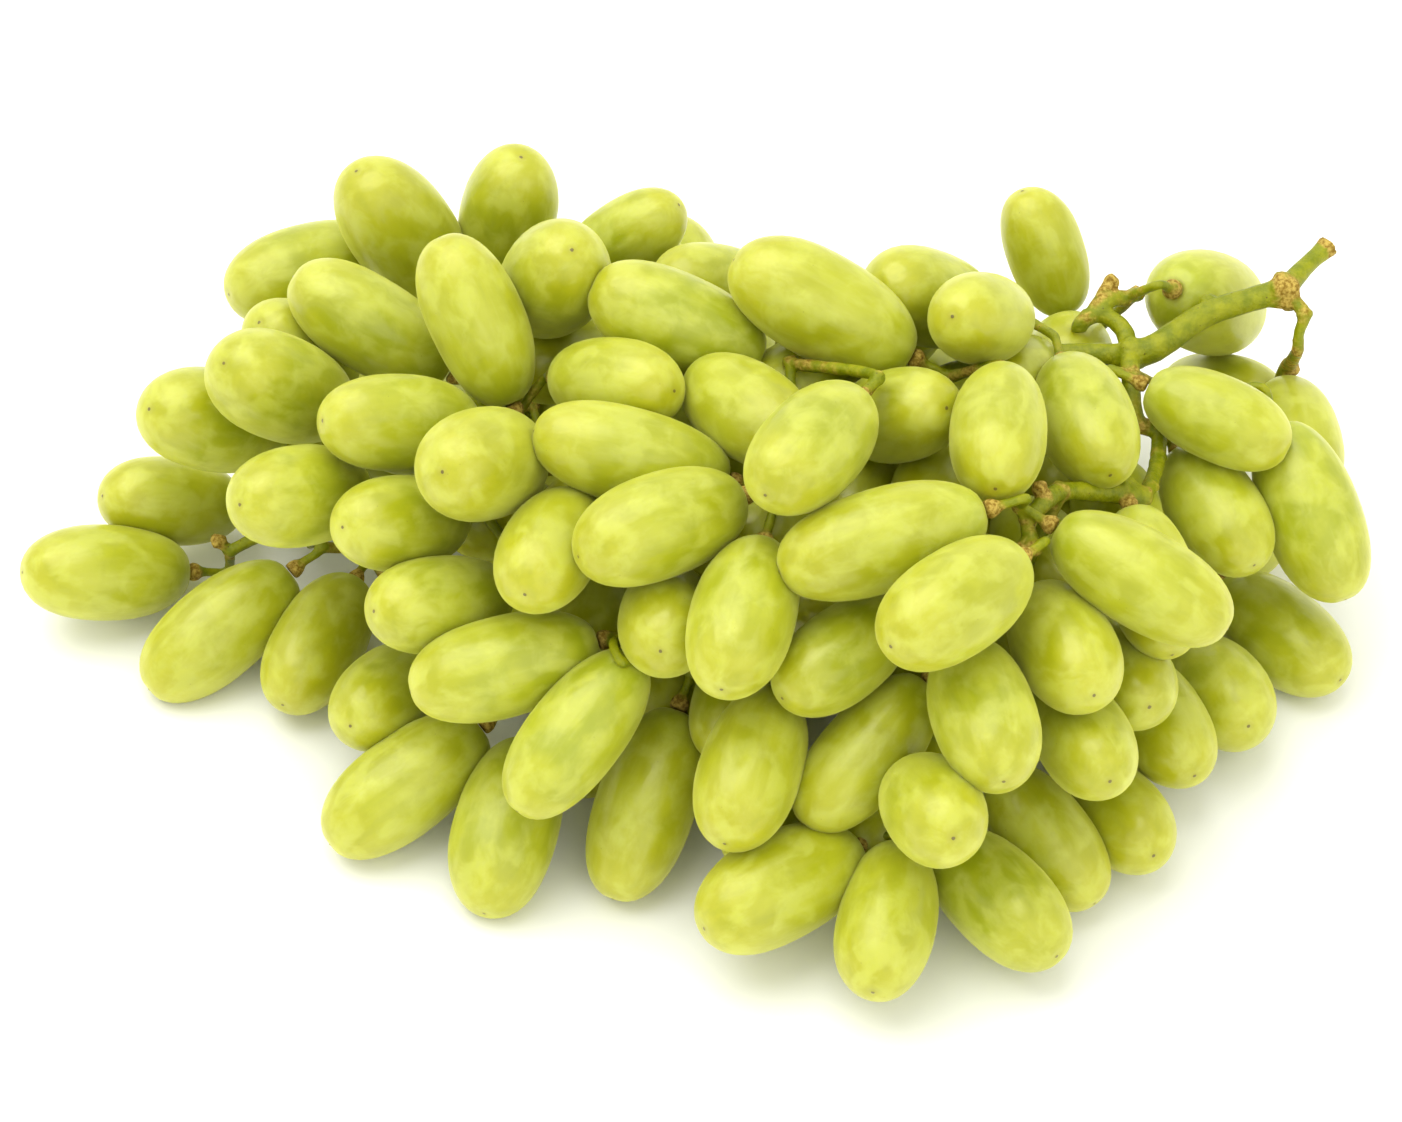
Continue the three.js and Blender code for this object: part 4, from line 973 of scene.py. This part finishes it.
def add_pedicel(stems, n, draw):
    """A pedicel with its swollen cup under the berry, and the swelling where it starts."""
    r = branch_radius(n.load)
    cup = CUP_RADIUS * n.berry.B / BERRY_HALF_WIDTH
    d = n.berry.d
    neck = sub(n.end, mul(d, CUP_LENGTH * 1.3))
    flare = sub(n.end, mul(d, CUP_LENGTH * 0.45))
    seat = add(n.end, mul(d, 0.55))
    way = list(n.way)
    if apart(way[-1], neck) < 0.8 and len(way) > 1:
        way = way[:-1]
    if n.berry.name == SHOOT_BERRY:
        way = way[:1]
    more = len(way) - 1
    radii = [r * 1.15] + [r] * more + [PEDICEL_RADIUS * 1.1, cup * 0.95, cup * 0.8]
    cork = [0.7] + [0.15] * more + [0.45, 0.95, 1]
    stems.tube(way + [neck, flare, seat], radii, cork, 0.12, draw)
    stems.knob(n.start, r * 1.45, 0.9, draw)


def stem_forms(nodes):
    """Every tube and swelling of the stem, not yet fused."""
    draw = random_draw(STEM_SEED)
    stems = Stems()
    peduncle = [at_height(*q) for q in PEDUNCLE]
    stout = [f * PEDUNCLE_RADIUS for f in (1.18, 1.1, 1, 0.95, 1.05)]
    slim = [f * PEDUNCLE_RADIUS for f in (0.95, 0.7, 0.76)]
    node = peduncle[PEDUNCLE_NODE]
    stems.tube(peduncle[:PEDUNCLE_NODE + 1], stout, [0.1, 0, 0, 0.05, 0.8], 0.05, draw)
    stems.tube(peduncle[PEDUNCLE_NODE:], slim, [0.8, 0.05, 0.6], 0.05, draw)
    stems.cut_end(peduncle[-2], peduncle[-1], PEDUNCLE_RADIUS * 0.76)
    stems.knob(node, PEDUNCLE_RADIUS * 1.36, 1, draw)
    stems.knob(add(node, (1.2, -1.2, -1.4)), PEDUNCLE_RADIUS * 0.8, 1, draw)
    stems.knob(peduncle[0], PEDUNCLE_RADIUS * 1.3, 0.25, draw)
    for bud, size in (((1209, 301, 50), 0.62), ((1237, 306, 50), 0.4)):
        stems.knob(at_height(*bud), size * PEDUNCLE_RADIUS, 0.6, draw)
    shoot = [at_height(*q) for q in SIDE_SHOOT]
    stems.tube(shoot, [1.35, 1.15, 1.0, 1.1], [0.9, 0.45, 0.2, 0.9], 0.2, draw)
    stems.knob(shoot[1], 1.5, 0.7, draw)
    rachis = [n.p for n in nodes if n.kind == "rachis"]
    rings = len(rachis)
    radii = [RACHIS_RADIUS * (1 - 0.45 * i / rings) for i in range(rings)]
    stems.tube(rachis, radii, [0.15] * rings, 0.1, draw)
    for n in nodes:
        if n.kind == "branch" and n.chain:
            links = len(n.chain)
            radii = [BRANCH_RADIUS * (1.75 - 0.6 * k / links) for k in range(links)]
            stems.tube(n.chain, radii, [0.1] + [0.35] * (links - 1), 0.15, draw)
            for p in n.chain[2:]:
                stems.knob(p, 1.55, 0.85, draw)
        if n.kind == "knee":
            add_pedicel(stems, n, draw)
    for stub in STUBS:
        a, b = at_height(*stub[:3]), at_height(*stub[3:])
        stems.tube([a, b], [1, 1.1], [0.5, 0.9], 0.2, draw)
        stems.knob(b, 1.45, 0.95, draw)
    # the dry collar of the side shoot, just above its berry
    collar = at_height(*SHOOT_COLLAR)
    stems.tube([shoot[-1], collar], [1.1, 1.15], [0.3, 0.8], 0.2, draw)
    stems.knob(collar, 1.9, 1, draw)
    return stems


def largest_island(points, faces):
    """The biggest connected part of a mesh, without the specks that a remesh can leave."""
    group = list(range(len(points)))

    def root(i):
        while group[i] != i:
            group[i] = group[group[i]]
            i = group[i]
        return i

    for face in faces:
        for i in face[1:]:
            group[root(i)] = root(face[0])
    roots = np.array([root(i) for i in range(len(points))])
    biggest = np.bincount(roots).argmax()
    kept = np.flatnonzero(roots == biggest)
    new_index = {int(i): k for k, i in enumerate(kept)}
    return points[kept], [tuple(new_index[i] for i in face) for face in faces if face[0] in new_index]


def make_stem(nodes):
    """All the stems fused in one skin by a voxel remesh, then marked with how corky each place is."""
    stems = stem_forms(nodes)
    rough = new_object("stem_forms", [metres(v) for v in stems.vertices], stems.faces)
    remesh = rough.modifiers.new("fuse", "REMESH")
    remesh.mode = "VOXEL"
    remesh.voxel_size = STEM_VOXEL * MM
    smooth = rough.modifiers.new("soften", "SMOOTH")
    smooth.factor = 0.5
    smooth.iterations = 2
    thin = rough.modifiers.new("thin_out", "DECIMATE")
    thin.ratio = STEM_SHARE
    graph = bpy.context.evaluated_depsgraph_get()
    mesh = bpy.data.meshes.new_from_object(rough.evaluated_get(graph))
    points = corners_of(mesh).astype(float)
    points[:, 2] = np.maximum(points[:, 2], 0)
    points, faces = largest_island(points, [tuple(f.vertices) for f in mesh.polygons])
    bpy.data.objects.remove(rough)
    tree = kdtree.KDTree(len(stems.marks))
    for i, (p, _) in enumerate(stems.marks):
        tree.insert(metres(p), i)
    tree.balance()
    cork = []
    for p in points:
        near = [(1 / (far + CORK_BLUR) ** 2, k) for _, k, far in tree.find_n(p, CORK_MARKS)]
        cork.append(sum(w * stems.marks[k][1] for w, k in near) / sum(w for w, _ in near))
    piece = new_object("stem_and_pedicels", points, faces, [("cork", cork)])
    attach(piece, "root")
    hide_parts("stem")
    return piece


# ---- materials
def colour(red, green, blue):
    """A colour given on the 0 to 255 screen scale, as the linear value that Blender wants."""
    out = []
    for v in (red, green, blue):
        v /= 255
        out.append(v / 12.92 if v <= 0.04045 else ((v + 0.055) / 1.055) ** 2.4)
    return (*out, 1)


class Nodes:
    """Short calls for building a material's nodes; a value may be a constant or another node's output."""

    def __init__(self, name):
        self.material = bpy.data.materials.new(name)
        self.material.use_nodes = True
        self.tree = self.material.node_tree
        self.tree.nodes.clear()
        self.shader = self.node("BsdfPrincipled")
        self.node("OutputMaterial", {"Surface": self.shader.outputs[0]})

    def feed(self, node, sockets):
        for socket, value in sockets.items():
            if isinstance(value, bpy.types.NodeSocket):
                self.tree.links.new(value, node.inputs[socket])
            else:
                node.inputs[socket].default_value = value

    def node(self, kind, sockets=None, **settings):
        node = self.tree.nodes.new("ShaderNode" + kind)
        for setting, value in settings.items():
            setattr(node, setting, value)
        self.feed(node, sockets or {})
        return node

    def attribute(self, name, output="Fac"):
        return self.node("Attribute", attribute_name=name).outputs[output]

    def stretched(self, vector, scale):
        return self.node("Mapping", {"Vector": vector, "Scale": scale}).outputs["Vector"]

    def noise(self, vector, scale, detail=3, roughness=0.55, distortion=0):
        sockets = {"Vector": vector, "Scale": scale, "Detail": detail, "Roughness": roughness}
        return self.node("TexNoise", {**sockets, "Distortion": distortion}).outputs["Fac"]

    def cells(self, vector, scale):
        node = self.node("TexVoronoi", {"Vector": vector, "Scale": scale})
        return node.outputs["Distance"], node.outputs["Color"]

    def ramp(self, value, low, high, start=0, end=1):
        """A smooth step of a value between low and high, from start to end."""
        sockets = {"Value": value, "From Min": low, "From Max": high, "To Min": start, "To Max": end}
        return self.node("MapRange", sockets, interpolation_type="SMOOTHSTEP").outputs["Result"]

    def math(self, kind, a, b):
        return self.node("Math", {0: a, 1: b}, operation=kind).outputs[0]

    def mix(self, factor, a, b):
        return self.node("Mix", {0: factor, 6: a, 7: b}, data_type="RGBA").outputs[2]

    def layer(self, base, value, low, high, share, shade):
        """The base with up to a share of another colour on it, as a value goes from low to high."""
        return self.mix(self.ramp(value, low, high, 0, share), base, colour(*shade))

    def uneven(self, value, noise, amount):
        """A value made uneven by a noise."""
        return self.math("ADD", value, self.math("MULTIPLY", self.math("SUBTRACT", noise, 0.5), amount))

    def bump(self, height, strength, distance):
        sockets = {"Height": height, "Strength": strength, "Distance": distance}
        return self.node("Bump", sockets).outputs["Normal"]


def berry_material():
    n = Nodes("grape_skin")
    spot = n.attribute("skin_place", "Vector")
    tone = n.attribute("tone")
    along = n.attribute("along")
    veins = n.noise(n.stretched(spot, (1, 0.16, 1)), 0.42, 3, 0.5, 0.2)
    clouds = n.noise(spot, 0.13, 3, 0.5, 0.4)
    mottle = n.noise(n.stretched(spot, (1, 0.75, 1)), 0.24, 4, 0.5, 0.4)
    base = n.mix(n.ramp(tone, 0, 1), colour(165, 168, 0), colour(152, 161, 0))
    for layer in (
        (clouds, 0.35, 0.65, 0.6, (184, 188, 36)),
        (along, 0.1, 1, 0.45, (176, 171, 0)),
        (along, -0.4, -1, 0.45, (146, 162, 20)),
        (veins, 0.5, 0.3, 0.2, (138, 146, 0)),
        (mottle, 0.42, 0.66, 0.5, (196, 201, 92)),
        (veins, 0.5, 0.75, 0.2, (206, 210, 110)),
    ):
        base = n.layer(base, *layer)
    spots, spot_colour = n.cells(spot, 0.42)
    rare = n.ramp(spot_colour, 0.62, 0.66)
    freckle = n.math("MULTIPLY", n.ramp(spots, 0.06, 0.03), rare)
    base = n.mix(n.math("MULTIPLY", freckle, 0.4), base, colour(110, 100, 30))
    fleck = n.noise(spot, 1.6, 2, 0.5)
    tip = n.uneven(n.attribute("tip_radius"), fleck, 0.3)
    base = n.layer(base, tip, 1.2, 0.4, 0.25, (160, 150, 40))
    base = n.layer(base, tip, 0.38, 0.24, 0.9, (84, 66, 24))
    seat = n.uneven(n.attribute("stem_radius"), fleck, 0.8)
    base = n.layer(base, seat, 2.6, 1.5, 0.6, (150, 144, 60))
    ripple = n.noise(n.stretched(spot, (1, 0.5, 1)), 0.24, 3, 0.45)
    fine = n.noise(spot, 2.2, 2, 0.5)
    n.feed(n.shader, {
        "Base Color": base,
        "Roughness": n.ramp(mottle, 0.35, 0.65, 0.34, 0.52),
        "Normal": n.bump(n.math("ADD", ripple, n.math("MULTIPLY", fine, 0.03)), 0.3, 0.0012),
        "Subsurface Weight": 1.0,
        "Subsurface Radius": (1.0, 0.9, 0.06),
        "Subsurface Scale": 0.008,
        "Specular IOR Level": 1.0,
        "Specular Tint": (1, 1, 0.6, 1),
        "Coat Weight": 0.24,
        "Coat Roughness": 0.18,
        "Coat IOR": 1.45,
        "Sheen Weight": 0.36,
        "Sheen Roughness": 0.5,
        "Sheen Tint": (1, 1, 0.3, 1),
    })
    return n.material


def stem_material():
    n = Nodes("green_wood")
    spot = n.stretched(n.node("TexCoord").outputs["Object"], (1000, 1000, 1000))
    cork = n.attribute("cork")
    grain = n.noise(spot, 1.5, 4, 0.6)
    patch = n.noise(spot, 0.35, 3, 0.6)
    speck, speck_colour = n.cells(spot, 0.8)
    green = n.mix(n.ramp(patch, 0.3, 0.7), colour(116, 126, 0), colour(152, 154, 12))
    green = n.layer(green, grain, 0.5, 0.8, 0.25, (168, 166, 50))
    tan = n.mix(n.ramp(grain, 0.35, 0.65), colour(132, 102, 20), colour(198, 170, 80))
    worn = n.uneven(cork, patch, 1.1)
    base = n.mix(n.ramp(worn, 0.4, 0.8), green, tan)
    base = n.layer(base, cork, 1.3, 1.7, 1, (206, 198, 120))
    dark = n.math("MULTIPLY", n.ramp(speck, 0.16, 0.08), n.ramp(speck_colour, 0.66, 0.7))
    base = n.mix(n.math("MULTIPLY", dark, 0.7), base, colour(80, 62, 20))
    n.feed(n.shader, {
        "Base Color": base,
        "Roughness": n.ramp(worn, 0.3, 0.8, 0.42, 0.75),
        "Normal": n.bump(n.math("ADD", grain, n.math("MULTIPLY", speck, -0.2)), 0.5, 0.0005),
        "Specular IOR Level": 0.3,
    })
    return n.material


def floor_material():
    n = Nodes("pale_floor")
    soft = n.noise(n.node("TexCoord").outputs["Object"], 3, 2)
    pale = n.mix(soft, colour(246, 246, 244), colour(250, 250, 249))
    n.feed(n.shader, {"Base Color": pale, "Roughness": 0.85})
    return n.material


# ---- stage, light and camera
FLOOR_HALF = 3.0
SENSOR_MM = 36
PHOTO_WIDTH = 1402


def make_floor():
    h = FLOOR_HALF
    ground = new_object("floor", [(-h, -h, 0), (h, -h, 0), (h, h, 0), (-h, h, 0)], [(0, 1, 2, 3)])
    ground.data.materials.append(floor_material())


def make_lamp(name, at, size, power, tint):
    lamp = bpy.data.lights.new(name, "AREA")
    lamp.shape = "DISK"
    lamp.size = size
    lamp.energy = power
    lamp.color = tint
    holder = into_scene(name, lamp)
    holder.location = at
    holder.rotation_euler = (-Vector(at)).to_track_quat("-Z", "Y").to_euler()


def make_light():
    world = bpy.data.worlds.new("soft_room")
    world.use_nodes = True
    sky = world.node_tree.nodes["Background"].inputs
    sky["Color"].default_value = (1, 1, 0.95, 1)
    sky["Strength"].default_value = 1.04
    bpy.context.scene.world = world
    make_lamp("key", (-0.32, 0.12, 1.15), 1.3, 10.8, (1, 1, 0.98))
    make_lamp("fill", (0.5, -0.95, 0.7), 1.4, 4, (1, 1, 0.95))
    bpy.context.scene.view_settings.view_transform = "Standard"


def make_camera():
    """The camera looks square at the sheet's middle, as far away as the sheet's centre of perspective."""
    data = bpy.data.cameras.new("camera")
    data.sensor_fit = "HORIZONTAL"
    data.sensor_width = SENSOR_MM
    data.lens = SENSOR_MM * SHEET_EYE / (PHOTO_WIDTH / SHEET_PER_MM)
    data.clip_start = 0.01
    camera = into_scene("camera", data)
    camera.location = metres(place(0, 0, SHEET_EYE))
    turned = Matrix((Vector((1, 0, 0)), Vector(UP), Vector(OUT))).transposed()
    camera.rotation_euler = turned.to_euler()
    bpy.context.scene.camera = camera


def main():
    make_camera()
    pile = Pile(facing_berries())
    rest_of_berries(pile)
    skin = berry_material()
    for piece in make_berries(pile.berries):
        piece.data.materials.append(skin)
    stem = make_stem(grow_stem(pile.berries))
    stem.data.materials.append(stem_material())
    make_floor()
    make_light()


main()
